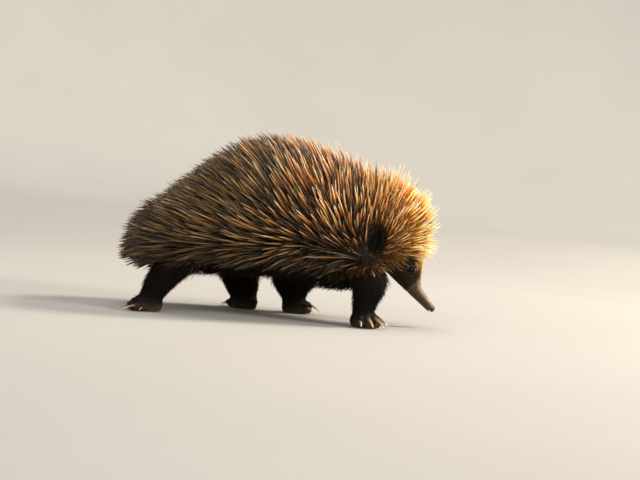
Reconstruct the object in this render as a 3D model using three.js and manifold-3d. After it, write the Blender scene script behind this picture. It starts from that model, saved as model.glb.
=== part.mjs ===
// Short-beaked echidna, life size, walking with its head lowered and its beak near the ground.
// Millimetres, +X forward (the way the animal faces), +Y to its left, +Z up.
// The origin is on the ground under the middle of the animal. All four soles are flat at Z = 0.
// The solids follow the outside of the spine coat and of the fur, out to the tips.
import * as THREE from "three";
import { mergeVertices } from "three/addons/utils/BufferGeometryUtils.js";
import Module from "manifold-3d";

const wasm = await Module();
wasm.setup();

// ---------------------------------------------------------------- driving sizes
const GAP = 0.3; // clearance between neighbouring pieces
const SHIFT_X = 1; // brings the middle of the overall box to X = 0

// Outside of the spine coat, from rump to forehead. Each station: [x, lowest z, highest z, z of the widest point, half width].
const COAT = {
  rumpTip: [-206.5, 70, 70, 70, 0],
  rumpEnd: [-202, 54, 93, 72, 30],
  rumpRear: [-188, 46.5, 113, 76, 56],
  rump: [-165, 43.5, 136, 82, 76],
  haunch: [-132, 44, 169, 92, 93],
  loin: [-92, 46, 203, 100, 103],
  back: [-50, 47.5, 230, 105, 107],
  ribs: [0, 48, 237, 107, 104],
  shoulder: [42, 49, 229.5, 109, 94],
  withers: [82, 53, 216.5, 112, 81],
  nape: [115, 64, 207.5, 118, 69],
  crown: [146, 78, 201, 126, 59],
  forehead: [172, 88, 185.5, 131, 46.5],
  brow: [193, 91, 163, 129, 30],
  browTip: [204.5, 125, 125, 125, 0],
};
const COAT_ROUND_TOP = 2.06; // superellipse powers of the cross-section above and below its widest point
const COAT_ROUND_BELLY = 2.45;
const COAT_AROUND = 32;
const COAT_ALONG = 32;

// Breast between the forelegs, under the lowered head: centre and half sizes.
const BREAST_AT = new THREE.Vector3(82, 0, 80);
const BREAST_SIZE = new THREE.Vector3(54, 56, 41);

// Short-furred face and bare beak, along the line of the skull. Each station: [x, z, half depth to the front, half depth to the throat, half width].
const FACE = {
  insideSkull: [145, 107, 0, 0, 0],
  temple: [149, 101, 16, 20, 19],
  cheek: [154.5, 91.5, 24, 27, 25],
  eyeLine: [160, 81, 27, 25, 23.2],
  snoutTop: [164.6, 71.4, 26, 20.5, 20],
  muzzle: [168.8, 62.5, 22.5, 16.2, 16.6],
  beakRoot: [172.6, 54.6, 16.6, 12.2, 12.6],
  beakBase: [176.6, 48.3, 10.4, 9.2, 9.6],
  beakShaft: [181.4, 42.6, 7.9, 7.7, 8.2],
  beakMiddle: [187.6, 36.4, 6.9, 6.8, 7.3],
  beakFront: [193.6, 30.7, 5.9, 5.9, 6.4],
  nostrils: [198.6, 26, 5.0, 5.2, 5.9],
  lips: [201.6, 23.2, 3.7, 3.8, 4.6],
  beakTip: [203.2, 21.6, 0, 0, 0],
};
const FACE_AROUND = 18;
const FACE_ALONG = 21;
const BEAK_CUT_AT = new THREE.Vector3(174.8, 0, 50.9); // where the fur ends and bare skin begins
const BEAK_CUT_DIR = new THREE.Vector3(0.69, 0, -0.724);

// Planes between the named parts of the body, each through a point, with the direction it faces.
const TAIL_AT = new THREE.Vector3(-168, 0, 84);
const TAIL_DIR = new THREE.Vector3(-0.952, 0, -0.306);
const NECK_AT = new THREE.Vector3(92, 0, 110);
const NECK_DIR = new THREE.Vector3(0.974, 0, 0.228);
const HEAD_AT = new THREE.Vector3(107, 0, 92);
const HEAD_DIR = new THREE.Vector3(0.99, 0, -0.14);
const THROAT_DIR = new THREE.Vector3(0.545, 0, 0.838); // passes through HEAD_AT as well

const EYE_AT = new THREE.Vector3(167.6, 16.6, 72.5); // left eye; the right one mirrors it
const EYE_RADIUS = 4.6;

const EAR_AT = new THREE.Vector3(120.5, 43, 105); // left ear lip, at the bottom of its hollow in the spines
const EAR_SIZE = new THREE.Vector3(6.8, 5.4, 17.5);
const EAR_HOLLOW_AT = new THREE.Vector3(120.5, 69, 106);
const EAR_HOLLOW_SIZE = new THREE.Vector3(9.5, 27, 21);
const EAR_LEAN = 0.29; // radians, top forward

// Limbs. Each station of a leg: [z, x, y out from the middle, half length fore and aft, half width].
const LEGS = {
  foreleg_right: {
    side: -1,
    stations: [
      [104, 104, 34, 0, 0],
      [92, 107, 38, 17, 14],
      [74, 113, 45, 24, 18.5],
      [59, 117, 50.5, 24.3, 19],
      [45, 117, 54, 21, 17.5],
      [32, 114.5, 55.5, 17, 15.5],
      [21, 112.5, 56.5, 14.8, 14.5],
      [10, 113.5, 57, 15, 14.4],
      [2, 114, 57, 0, 0],
    ],
    foot: { x: 114.5, y: 58, long: 18.5, wide: 18, yaw: 44, fan: 62, fore: true },
  },
  foreleg_left: {
    side: 1,
    stations: [
      [104, 66, 34, 0, 0],
      [92, 60, 38, 20, 15],
      [74, 42, 46, 35, 19],
      [55, 28, 52, 36, 19],
      [41, 22.5, 55, 30.5, 17],
      [29, 21.5, 56, 21.5, 15],
      [19, 23, 56.5, 16.6, 14.2],
      [9, 24.5, 57, 15, 14.4],
      [2, 25, 57, 0, 0],
    ],
    foot: { x: 27.5, y: 58, long: 18.5, wide: 18, yaw: 22, fan: 62, fore: true },
  },
  hindleg_right: {
    side: -1,
    stations: [
      [104, -96, 36, 0, 0],
      [92, -100, 42, 22, 16],
      [74, -109, 53, 30, 21],
      [55, -126, 61, 27.5, 21],
      [40, -138, 64, 22.5, 18],
      [28, -144.5, 66, 18.5, 16],
      [18, -150, 67, 16.5, 14.6],
      [9, -153, 68, 16, 14.6],
      [2, -154, 68, 0, 0],
    ],
    foot: { x: -157, y: 69, long: 22.5, wide: 16.5, yaw: 148, fan: 52, fore: false },
  },
  hindleg_left: {
    side: 1,
    stations: [
      [104, -88, 36, 0, 0],
      [92, -80, 42, 24, 16],
      [74, -67, 53, 32, 21],
      [57, -55, 61, 31, 20],
      [43, -50, 64, 27.5, 17.5],
      [30, -46.5, 65, 23, 16],
      [18, -43.5, 66, 19.5, 15],
      [9, -41, 67, 17, 15],
      [2, -41, 67, 0, 0],
    ],
    foot: { x: -43, y: 67, long: 22.5, wide: 16.5, yaw: 136, fan: 52, fore: false },
  },
};
const LEG_AROUND = 14;
const LEG_ALONG = 10;
const ANKLE = 17; // height of the cut between leg and foot
const FOOT_AROUND = 26;
const FOOT_ALONG = 7;
const TOES = 5;
const TOE_BULGE = 2.6;

// Claws, from the inner toe to the outer: length beyond the toe, half width, half thickness, height of the root.
const FORE_CLAWS = [
  [10, 3.0, 2.3, 9.0],
  [13, 3.7, 2.8, 11.4],
  [14, 3.9, 2.9, 12.0],
  [13, 3.7, 2.8, 11.4],
  [10, 3.0, 2.3, 9.0],
];
const HIND_CLAWS = [
  [6, 2.1, 1.7, 5.4],
  [22, 2.4, 1.8, 7.0],
  [16, 2.3, 1.7, 6.6],
  [10, 2.0, 1.6, 5.8],
  [8, 1.9, 1.5, 5.4],
];
const CLAW_AROUND = 6;
const CLAW_ALONG = 6;

// ---------------------------------------------------------------- shape helpers
const solid = (geometry) => {
  const g = geometry.clone();
  g.deleteAttribute("normal");
  g.deleteAttribute("uv");
  const merged = mergeVertices(g, 1e-4);
  return new wasm.Manifold(
    new wasm.Mesh({
      numProp: 3,
      vertProperties: new Float32Array(merged.attributes.position.array),
      triVerts: new Uint32Array(merged.index.array),
    }),
  );
};

const geometryOf = (made) => {
  const m = made.getMesh();
  const positions = new Float32Array(m.numVert * 3);
  for (let i = 0; i < m.numVert; i++)
    positions.set(m.vertProperties.subarray(i * m.numProp, i * m.numProp + 3), i * 3);
  const g = new THREE.BufferGeometry();
  g.setAttribute("position", new THREE.BufferAttribute(positions, 3));
  g.setIndex(new THREE.BufferAttribute(new Uint32Array(m.triVerts), 1));
  g.computeVertexNormals();
  return g;
};

// A sphere whose surface is moved by a function of t, from 0 at its first pole to 1 at its last, and of the direction round its axis.
// The first pole maps to the +X end of a part along X.
const warpedSphere = (around, along, place) => {
  const g = new THREE.SphereGeometry(1, around, along);
  g.deleteAttribute("normal");
  g.deleteAttribute("uv");
  const merged = mergeVertices(g, 1e-4);
  const p = merged.attributes.position;
  const v = new THREE.Vector3();
  for (let i = 0; i < p.count; i++) {
    v.fromBufferAttribute(p, i);
    const t = Math.acos(THREE.MathUtils.clamp(v.y, -1, 1)) / Math.PI;
    const r = Math.hypot(v.x, v.z);
    const c = r < 1e-6 ? 1 : v.z / r;
    const s = r < 1e-6 ? 0 : v.x / r;
    const q = place(t, c, s, r < 1e-6);
    p.setXYZ(i, q.x, q.y, q.z);
  }
  merged.computeVertexNormals();
  return merged;
};

// Values between stations, by Catmull-Rom curves through them, three numbers at a time.
const between = (stations) => {
  const width = stations[0].length;
  const curves = [];
  for (let k = 0; k < width; k += 3)
    curves.push(
      new THREE.CatmullRomCurve3(
        stations.map((s) => new THREE.Vector3(s[k], s[k + 1] ?? 0, s[k + 2] ?? 0)),
        false,
        "catmullrom",
        0.5,
      ),
    );
  return (t) => curves.flatMap((c) => c.getPoint(THREE.MathUtils.clamp(t, 0, 1)).toArray()).slice(0, width);
};

const rounded = (c, power) => Math.sign(c) * Math.pow(Math.abs(c), 2 / power);

// The same surface, moved out along its normals.
const grown = (geometry, by) => {
  const g = geometry.clone();
  g.computeVertexNormals();
  const p = g.attributes.position;
  const n = g.attributes.normal;
  for (let i = 0; i < p.count; i++)
    p.setXYZ(i, p.getX(i) + n.getX(i) * by, p.getY(i) + n.getY(i) * by, p.getZ(i) + n.getZ(i) * by);
  return g;
};

// A very large box on one side of a plane.
const FAR = 1200;
const beyond = (at, dir, off = 0) => {
  const d = dir.clone().normalize();
  const g = new THREE.BoxGeometry(FAR, FAR, FAR);
  g.translate(0, 0, FAR / 2 + off);
  g.applyQuaternion(new THREE.Quaternion().setFromUnitVectors(new THREE.Vector3(0, 0, 1), d));
  g.translate(at.x, at.y, at.z);
  return solid(g);
};

const ellipsoid = (at, size, lean = 0, around = 20, along = 14) => {
  const sphere = new THREE.SphereGeometry(1, around, along);
  sphere.deleteAttribute("normal");
  sphere.deleteAttribute("uv");
  const g = mergeVertices(sphere, 1e-4);
  g.scale(size.x, size.y, size.z);
  g.rotateY(lean);
  g.translate(at.x, at.y, at.z);
  return g;
};

// ---------------------------------------------------------------- body
const coatAt = between(Object.values(COAT));
const coatGeometry = warpedSphere(COAT_AROUND, COAT_ALONG, (t, c, s) => {
  const [x, low, high, wide, half] = coatAt(1 - t);
  const y = half * rounded(c, s > 0 ? COAT_ROUND_TOP : COAT_ROUND_BELLY);
  const z = s > 0 ? wide + (high - wide) * rounded(s, COAT_ROUND_TOP) : wide + (wide - low) * rounded(s, COAT_ROUND_BELLY);
  return new THREE.Vector3(x, y, z);
});

const faceAt = between(Object.values(FACE));
const faceGeometry = warpedSphere(FACE_AROUND, FACE_ALONG, (t, c, s) => {
  const u = 1 - t;
  const [x, z, front, back, half] = faceAt(u);
  const [xa, za] = faceAt(u - 0.02);
  const [xb, zb] = faceAt(u + 0.02);
  const along = new THREE.Vector3(xb - xa, 0, zb - za).normalize();
  const up = new THREE.Vector3(-along.z, 0, along.x); // towards the forehead
  return new THREE.Vector3(x, half * c, z).addScaledVector(up, s > 0 ? front * s : back * s);
});

const breastGeometry = ellipsoid(BREAST_AT, BREAST_SIZE, 0, 20, 12);

const coat = solid(coatGeometry).add(solid(breastGeometry));
const coatGrown = solid(grown(coatGeometry, GAP)).add(solid(grown(breastGeometry, GAP)));
const face = solid(faceGeometry);

const half = GAP / 2;
const behindOf = (at, dir, off) => beyond(at, dir.clone().negate(), off);

const tail = coat.intersect(beyond(TAIL_AT, TAIL_DIR, half));
const headSpace = beyond(HEAD_AT, HEAD_DIR, half).intersect(beyond(HEAD_AT, THROAT_DIR, half));
const headSpaceGrown = beyond(HEAD_AT, HEAD_DIR, -half).intersect(beyond(HEAD_AT, THROAT_DIR, -half));
const neck = coat.intersect(beyond(NECK_AT, NECK_DIR, half)).intersect(beyond(HEAD_AT, THROAT_DIR, half)).subtract(headSpaceGrown);
const trunk = coat
  .intersect(behindOf(TAIL_AT, TAIL_DIR, half))
  .subtract(beyond(NECK_AT, NECK_DIR, -half).intersect(beyond(HEAD_AT, THROAT_DIR, -half)))
  .subtract(headSpaceGrown);

const faceFurred = face.intersect(behindOf(BEAK_CUT_AT, BEAK_CUT_DIR, half));
const beak = face.intersect(beyond(BEAK_CUT_AT, BEAK_CUT_DIR, half));
// The furred face hangs below the head's spines, and its throat side stays clear of the breast.
const faceClear = faceFurred
  .subtract(coatGrown.subtract(headSpace))
  .intersect(beyond(HEAD_AT, HEAD_DIR, half));
let head = coat.intersect(headSpace).add(faceClear);

const mirrored = (at, side) => new THREE.Vector3(at.x, at.y * side, at.z);
const eyes = {};
const ears = {};
for (const [name, side] of [["left", 1], ["right", -1]]) {
  const eyeAt = mirrored(EYE_AT, side);
  const eye = (r) => ellipsoid(eyeAt, new THREE.Vector3(r, r, r), 0, 12, 8);
  eyes[name] = { at: eyeAt, made: solid(eye(EYE_RADIUS)) };
  head = head.subtract(solid(eye(EYE_RADIUS + GAP)));

  const earAt = mirrored(EAR_AT, side);
  const hollow = ellipsoid(mirrored(EAR_HOLLOW_AT, side), EAR_HOLLOW_SIZE, EAR_LEAN, 14, 10);
  const ear = ellipsoid(earAt, EAR_SIZE, EAR_LEAN, 12, 8);
  head = head.subtract(solid(hollow)).subtract(solid(grown(ear, GAP)));
  ears[name] = { at: earAt, made: solid(ear) };
}
// The head is one piece: slivers that a cut leaves by themselves are dropped.
const largest = (made) => made.decompose().sort((a, b) => b.volume() - a.volume())[0];

// ---------------------------------------------------------------- limbs
const FLOOR = new THREE.Vector3(0, 0, 0);
const UP = new THREE.Vector3(0, 0, 1);
const aboveFloor = beyond(FLOOR, UP, 0);
const ankleAt = new THREE.Vector3(0, 0, ANKLE);

const legGeometry = ({ side, stations }) => {
  const at = between(stations);
  return warpedSphere(LEG_AROUND, LEG_ALONG, (t, c, s) => {
    const [z, x, y, rx, ry] = at(t);
    return new THREE.Vector3(x + rx * c, side * y + ry * s, z);
  });
};

const toeAngles = (fan) => Array.from({ length: TOES }, (_, i) => THREE.MathUtils.degToRad(fan * ((2 * i) / (TOES - 1) - 1)));

// The foot's outline at an angle from its own axis: an ellipse with a bulge at each toe.
const footRadius = (angle, { long, wide, fan }) => {
  const base = 1 / Math.hypot(Math.cos(angle) / long, Math.sin(angle) / wide);
  let bulge = 0;
  for (const toe of toeAngles(fan)) {
    const d = Math.atan2(Math.sin(angle - toe), Math.cos(angle - toe));
    bulge += TOE_BULGE * Math.exp(-Math.pow(d / 0.19, 2));
  }
  return base + bulge;
};

const footGeometry = ({ side, stations, foot }) => {
  const leg = between(stations);
  const ankleT = (() => {
    let lo = 0;
    let hi = 1;
    for (let k = 0; k < 40; k++) {
      const mid = (lo + hi) / 2;
      if (leg(mid)[0] > ANKLE) lo = mid;
      else hi = mid;
    }
    return lo;
  })();
  const [, ax, ay, arx, ary] = leg(ankleT);
  const yaw = THREE.MathUtils.degToRad(foot.yaw) * side;
  return warpedSphere(FOOT_AROUND, FOOT_ALONG, (t, c, s, pole) => {
    const height = Math.cos(Math.PI * t); // 1 at the top, -1 at the bottom
    const z = ANKLE * 0.42 + height * ANKLE * (height > 0 ? 0.9 : 0.62);
    const angle = Math.atan2(s, c); // from +X
    const low = THREE.MathUtils.smoothstep(ANKLE - z, 0, ANKLE * 0.62);
    const edge = z < 3 ? Math.sqrt(Math.max(0, 1 - Math.pow((3 - z) / 7.2, 2))) : 1;
    const pad = footRadius(angle - yaw, foot) * edge;
    const ankle = 1 / Math.hypot(Math.cos(angle) / arx, Math.sin(angle) / ary);
    const r = pole ? 0 : THREE.MathUtils.lerp(ankle, pad, low);
    return new THREE.Vector3(
      THREE.MathUtils.lerp(ax, foot.x, low) + r * Math.cos(angle),
      side * THREE.MathUtils.lerp(ay, foot.y, low) + r * Math.sin(angle),
      z,
    );
  });
};

const clawGeometry = (from, heading, [length, wide, thick, rootZ], curve) => {
  const out = new THREE.Vector3(Math.cos(heading), Math.sin(heading), 0);
  const across = new THREE.Vector3(-out.y, out.x, 0);
  const root = 6; // how far the claw starts inside the toe
  return warpedSphere(CLAW_AROUND, CLAW_ALONG, (t, c, s) => {
    const u = 1 - t; // 0 at the root, 1 at the tip
    const along = -root + (length + root) * u;
    const taper = Math.pow(Math.max(0, 1 - u), 0.62) * Math.min(1, Math.sqrt(u * 9));
    const low = 0.9 + thick * 0.55;
    const drop = (rootZ - low) * Math.pow(Math.max(0, along + root * 0.3) / (length + root * 0.3), curve);
    return from
      .clone()
      .addScaledVector(out, along)
      .addScaledVector(across, wide * taper * c)
      .add(new THREE.Vector3(0, 0, rootZ - drop + thick * taper * s));
  });
};

const limbs = {};
for (const [name, leg] of Object.entries(LEGS)) {
  const upper = solid(legGeometry(leg))
    .intersect(beyond(ankleAt, UP, half))
    .subtract(coatGrown);
  const footGeo = footGeometry(leg);
  const foot = solid(footGeo).intersect(aboveFloor).intersect(behindOf(ankleAt, UP, half));
  const footSpace = solid(grown(footGeo, GAP));
  const yaw = THREE.MathUtils.degToRad(leg.foot.yaw) * leg.side;
  const sizes = leg.foot.fore ? FORE_CLAWS : HIND_CLAWS;
  const claws = toeAngles(leg.foot.fan).map((toe, i) => {
    // Toe 0 is the innermost one, on the side nearest the body's middle line.
    const inward = leg.foot.fore ? -leg.side : leg.side;
    const angle = -toe * inward * -1;
    const heading = yaw + angle;
    const r = footRadius(angle, leg.foot) - 1.4;
    const from = new THREE.Vector3(leg.foot.x + r * Math.cos(heading), leg.side * leg.foot.y + r * Math.sin(heading), 0);
    const turned = yaw + angle * 0.62; // claws lie closer to the foot's own axis than the toes do
    return { at: from, made: solid(clawGeometry(from, turned, sizes[i], 1.7)).intersect(aboveFloor).subtract(footSpace) };
  });
  limbs[name] = { upper, foot, claws, leg };
}

// ---------------------------------------------------------------- scene graph
const paint = (name, color, roughness) => new THREE.MeshStandardMaterial({ name, color: new THREE.Color().setRGB(...color, THREE.SRGBColorSpace), roughness, metalness: 0 });
const SPINES = [0.42, 0.27, 0.14];
const FUR = [0.16, 0.1, 0.07];

const echidna = new THREE.Group();
echidna.name = "echidna";
echidna.position.x = SHIFT_X;

const addPart = (group, name, made, at, color, roughness) => {
  const g = geometryOf(largest(made));
  g.translate(-at.x, -at.y, -at.z);
  const mesh = new THREE.Mesh(g, paint(name, color, roughness));
  mesh.name = name;
  mesh.position.copy(at);
  group.add(mesh);
  return mesh;
};

addPart(echidna, "trunk", trunk, new THREE.Vector3(-30, 0, 120), SPINES, 0.8);
addPart(echidna, "tail", tail, TAIL_AT, SPINES, 0.8);
addPart(echidna, "neck", neck, NECK_AT, SPINES, 0.8);

const skull = new THREE.Group();
echidna.add(skull);
addPart(skull, "head", head, HEAD_AT, [0.62, 0.42, 0.2], 0.8);
addPart(skull, "beak", beak, BEAK_CUT_AT, [0.27, 0.22, 0.19], 0.55);
for (const side of ["left", "right"]) {
  addPart(skull, "eye_" + side, eyes[side].made, eyes[side].at, [0.02, 0.015, 0.012], 0.08);
  addPart(skull, "ear_" + side, ears[side].made, ears[side].at, [0.07, 0.05, 0.04], 0.8);
}

for (const [name, { upper, foot, claws, leg }] of Object.entries(limbs)) {
  const limb = new THREE.Group();
  echidna.add(limb);
  const at = new THREE.Vector3(leg.foot.x, leg.side * leg.foot.y, 0);
  addPart(limb, name, upper, new THREE.Vector3(at.x, at.y, ANKLE), FUR, 0.85);
  const footName = name.replace("foreleg", "forefoot").replace("hindleg", "hindfoot");
  addPart(limb, footName, foot, at, [0.2, 0.15, 0.12], 0.75);
  claws.forEach((claw, i) => addPart(limb, footName + "_claw_" + (i + 1), claw.made, claw.at, [0.78, 0.68, 0.55], 0.4));
}

export default echidna;
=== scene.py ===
"""Short-beaked echidna, life size, walking with its beak near the ground: skin, spines, fur, eyes and claws round the CAD solids."""

import math

import bmesh
import bpy
import numpy as np
from mathutils import Matrix, Vector
from mathutils.bvhtree import BVHTree
from mathutils.kdtree import KDTree


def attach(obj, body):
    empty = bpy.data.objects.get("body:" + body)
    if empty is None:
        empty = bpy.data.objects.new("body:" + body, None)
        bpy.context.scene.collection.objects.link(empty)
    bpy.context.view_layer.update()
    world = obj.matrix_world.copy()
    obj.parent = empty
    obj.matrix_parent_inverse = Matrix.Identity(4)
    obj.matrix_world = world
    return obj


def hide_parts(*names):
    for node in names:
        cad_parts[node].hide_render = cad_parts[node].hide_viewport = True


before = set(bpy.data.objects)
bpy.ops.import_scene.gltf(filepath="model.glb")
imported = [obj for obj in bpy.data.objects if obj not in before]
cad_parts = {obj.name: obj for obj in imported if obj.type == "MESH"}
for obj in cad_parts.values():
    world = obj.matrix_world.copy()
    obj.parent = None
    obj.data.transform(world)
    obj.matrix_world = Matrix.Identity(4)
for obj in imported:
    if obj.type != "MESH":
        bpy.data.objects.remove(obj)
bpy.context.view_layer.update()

SHIFT_X = 1.0  # millimetres from the station coordinates to the model's X
MM = 0.001


# ---------------------------------------------------------------- camera
def make_camera():
    azimuth, elevation, roll = 0.0, math.radians(3.0), math.radians(4.6)
    target = Vector((0.0527, 0.0, 0.1004))
    back = Vector(
        (
            math.sin(azimuth) * math.cos(elevation),
            -math.cos(azimuth) * math.cos(elevation),
            math.sin(elevation),
        )
    )
    right = Vector((math.cos(azimuth), math.sin(azimuth), 0.0))
    up = back.cross(right)
    # The animal stood on ground that falls to the right. Here its ground is level, so the camera leans instead.
    leaned_right = right * math.cos(roll) + up * math.sin(roll)
    leaned_up = up * math.cos(roll) - right * math.sin(roll)
    data = bpy.data.cameras.new("camera")
    data.lens, data.sensor_width = 97.4, 36.0
    data.clip_start, data.clip_end = 0.05, 60.0
    camera = bpy.data.objects.new("camera", data)
    place = Matrix((leaned_right, leaned_up, back)).transposed().to_4x4()
    place.translation = target + back * 2.2
    camera.matrix_world = place
    bpy.context.scene.collection.objects.link(camera)
    bpy.context.scene.camera = camera


make_camera()


# ---------------------------------------------------------------- small maths
def step(x, a, b):
    """0 at a, 1 at b, smooth between."""
    t = np.clip((x - a) / (b - a), 0.0, 1.0)
    return t * t * (3 - 2 * t)


def smin(a, b, k):
    h = np.clip(0.5 + 0.5 * (b - a) / k, 0.0, 1.0)
    return b * (1 - h) + a * h - k * h * (1 - h)


def smax(a, b, k):
    return -smin(-a, -b, k)


def unit(v):
    return v / np.maximum(np.linalg.norm(v, axis=1, keepdims=True), 1e-9)


def interp(x, pairs):
    return np.interp(x, [p[0] for p in pairs], [p[1] for p in pairs])


def ray_distance(u, v, ru, rv, power=2.0):
    """How far the point (u, v) lies beyond the superellipse with half sizes ru and rv, measured from its middle."""
    size = np.hypot(u, v)
    k = ((np.abs(u) / ru) ** power + (np.abs(v) / rv) ** power) ** (1 / power)
    return size - size / np.maximum(k, 1e-5)


def ellipsoid(p, centre, radii):
    q = p - np.asarray(centre, float)
    r = np.asarray(radii, float)
    k0 = np.linalg.norm(q / r, axis=1)
    k1 = np.linalg.norm(q / (r * r), axis=1)
    return k0 * (k0 - 1) / np.maximum(k1, 1e-6)


def capsule(p, a, b, ra, rb):
    a, b = np.asarray(a, float), np.asarray(b, float)
    d = b - a
    t = np.clip((p - a) @ d / (d @ d), 0, 1)
    return np.linalg.norm(p - a - t[:, None] * d, axis=1) - (ra + (rb - ra) * t)


# ---------------------------------------------------------------- the body under the coat, in millimetres
# x, lowest z, highest z, z of the widest point, half width
BODY = np.array(
    [
        (-150, 54, 116, 82, 48),
        (-125, 52, 144, 90, 64),
        (-90, 53, 173, 98, 75),
        (-50, 55, 197, 104, 80),
        (0, 56, 204, 107, 78),
        (42, 57, 198, 110, 69),
        (82, 60, 186, 113, 58),
        (112, 68, 178, 117, 48),
        (140, 79, 173, 121, 42),
        (160, 86, 164, 122, 36),
    ],
    float,
)
# Along the line of the skull: distance, middle, half depth to the front, half depth to the throat, half width
SKULL_X, SKULL_Z = 0.725, -0.689
FACE = np.array(
    [
        (40, 175.0, 14.0, 18.0, 16.0),
        (50, 172.0, 20.0, 24.0, 21.0),
        (60, 169.0, 24.5, 23.5, 22.0),
        (70, 165.0, 24.3, 19.0, 19.6),
        (79, 161.5, 21.3, 15.0, 16.3),
        (87, 158.5, 16.4, 11.8, 12.6),
        (93, 156.8, 11.8, 9.7, 10.2),
        (98, 155.9, 9.1, 8.7, 9.0),
        (104, 155.6, 7.8, 7.7, 8.1),
        (112, 155.5, 7.0, 6.9, 7.3),
        (120, 155.4, 6.2, 6.1, 6.6),
        (126, 155.4, 5.5, 5.4, 6.0),
        (130, 155.4, 4.6, 4.5, 5.1),
    ],
    float,
)
EYE_AT = np.array((167.6, 16.6, 72.5))
EYE_RADIUS = 4.6
EAR_AT = np.array((120.5, 49.0, 105.0))
EAR_LEAN = 0.29

# z, x, y out from the middle, half length fore and aft, half width, outside the leg's fur
LEGS = {
    "foreleg_right": (
        -1,
        [(104, 104, 34, 6, 6), (92, 107, 38, 17, 14), (74, 113, 45, 24, 18.5), (59, 117, 50.5, 24.3, 19), (45, 117, 54, 21, 17.5), (32, 114.5, 55.5, 17, 15.5), (21, 112.5, 56.5, 14.8, 14.5), (10, 113.5, 57, 15, 14.4)],
        dict(x=114.5, y=58, long=18.5, wide=18, yaw=44, fan=62, fore=True),
    ),
    "foreleg_left": (
        1,
        [(104, 66, 34, 6, 6), (92, 60, 38, 20, 15), (74, 42, 46, 35, 19), (55, 28, 52, 36, 19), (41, 22.5, 55, 30.5, 17), (29, 21.5, 56, 21.5, 15), (19, 23, 56.5, 16.6, 14.2), (9, 24.5, 57, 15, 14.4)],
        dict(x=27.5, y=58, long=18.5, wide=18, yaw=22, fan=62, fore=True),
    ),
    "hindleg_right": (
        -1,
        [(104, -96, 36, 6, 6), (92, -100, 42, 22, 16), (74, -109, 53, 30, 21), (55, -126, 61, 27.5, 21), (40, -138, 64, 22.5, 18), (28, -144.5, 66, 18.5, 16), (18, -150, 67, 16.5, 14.6), (9, -153, 68, 16, 14.6)],
        dict(x=-157, y=69, long=22.5, wide=16.5, yaw=148, fan=52, fore=False),
    ),
    "hindleg_left": (
        1,
        [(104, -88, 36, 6, 6), (92, -80, 42, 24, 16), (74, -67, 53, 32, 21), (57, -55, 61, 31, 20), (43, -50, 64, 27.5, 17.5), (30, -46.5, 65, 23, 16), (18, -43.5, 66, 19.5, 15), (9, -41, 67, 17, 15)],
        dict(x=-43, y=67, long=22.5, wide=16.5, yaw=136, fan=52, fore=False),
    ),
}
TOES = 5
FORE_CLAWS = [(10, 3.0, 2.3, 9.0), (13, 3.7, 2.8, 11.4), (14, 3.9, 2.9, 12.0), (13, 3.7, 2.8, 11.4), (10, 3.0, 2.3, 9.0)]
HIND_CLAWS = [(6, 2.1, 1.7, 5.4), (22, 2.4, 1.8, 7.0), (16, 2.3, 1.7, 6.6), (10, 2.0, 1.6, 5.8), (8, 1.9, 1.5, 5.4)]


def toe_angle(foot, i):
    return math.radians(foot["fan"]) * (2 * i / (TOES - 1) - 1)


def foot_radius(foot, angle):
    bulge = sum(2.6 * math.exp(-(((angle - toe_angle(foot, i)) / 0.19) ** 2)) for i in range(TOES))
    return 1 / math.hypot(math.cos(angle) / foot["long"], math.sin(angle) / foot["wide"]) + bulge


def foot_frame(foot, side):
    yaw = math.radians(foot["yaw"]) * side
    return (
        np.array((foot["x"], foot["y"] * side, 0.0)),
        np.array((math.cos(yaw), math.sin(yaw), 0.0)),
        np.array((-math.sin(yaw), math.cos(yaw), 0.0)),
        yaw,
    )


def skull_coordinates(p):
    s = p[:, 0] * SKULL_X + p[:, 2] * SKULL_Z
    n = -p[:, 0] * SKULL_Z + p[:, 2] * SKULL_X
    return s, n


def trunk_field(p):
    x = np.clip(p[:, 0], BODY[0, 0], BODY[-1, 0])
    wide = np.interp(x, BODY[:, 0], BODY[:, 3])
    low = wide - np.sqrt(np.interp(x, BODY[:, 0], (BODY[:, 3] - BODY[:, 1]) ** 2))
    high = wide + np.sqrt(np.interp(x, BODY[:, 0], (BODY[:, 2] - BODY[:, 3]) ** 2))
    half = np.sqrt(np.interp(x, BODY[:, 0], BODY[:, 4] ** 2))
    dz = p[:, 2] - wide
    d = ray_distance(p[:, 1], dz, half, np.where(dz > 0, high - wide, wide - low), 2.15)
    ends = np.maximum(p[:, 0] - BODY[-1, 0], BODY[0, 0] - p[:, 0])
    d = smax(d, ends, 10.0)
    d = smin(d, ellipsoid(p, (-132, 0, 92), (42, 54, 40)), 16.0)
    d = smin(d, ellipsoid(p, (-163, 0, 76), (18, 15, 14)), 10.0)  # stub of the tail
    d = smin(d, ellipsoid(p, (142, 0, 122), (42, 42, 50)), 12.0)
    return smin(d, ellipsoid(p, (82, 0, 80), (48, 48, 35)), 12.0)


def face_field(p):
    s, n = skull_coordinates(p)
    c = np.clip(s, FACE[0, 0], FACE[-1, 0])
    middle = np.interp(c, FACE[:, 0], FACE[:, 1])
    front = np.interp(c, FACE[:, 0], FACE[:, 2])
    throat = np.interp(c, FACE[:, 0], FACE[:, 3])
    half = np.interp(c, FACE[:, 0], FACE[:, 4])
    dn = n - middle
    d = ray_distance(p[:, 1], dn, half, np.where(dn > 0, front, throat), 2.0)
    return smax(d, np.maximum(s - 132.0, 40.0 - s), 3.5)


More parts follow.
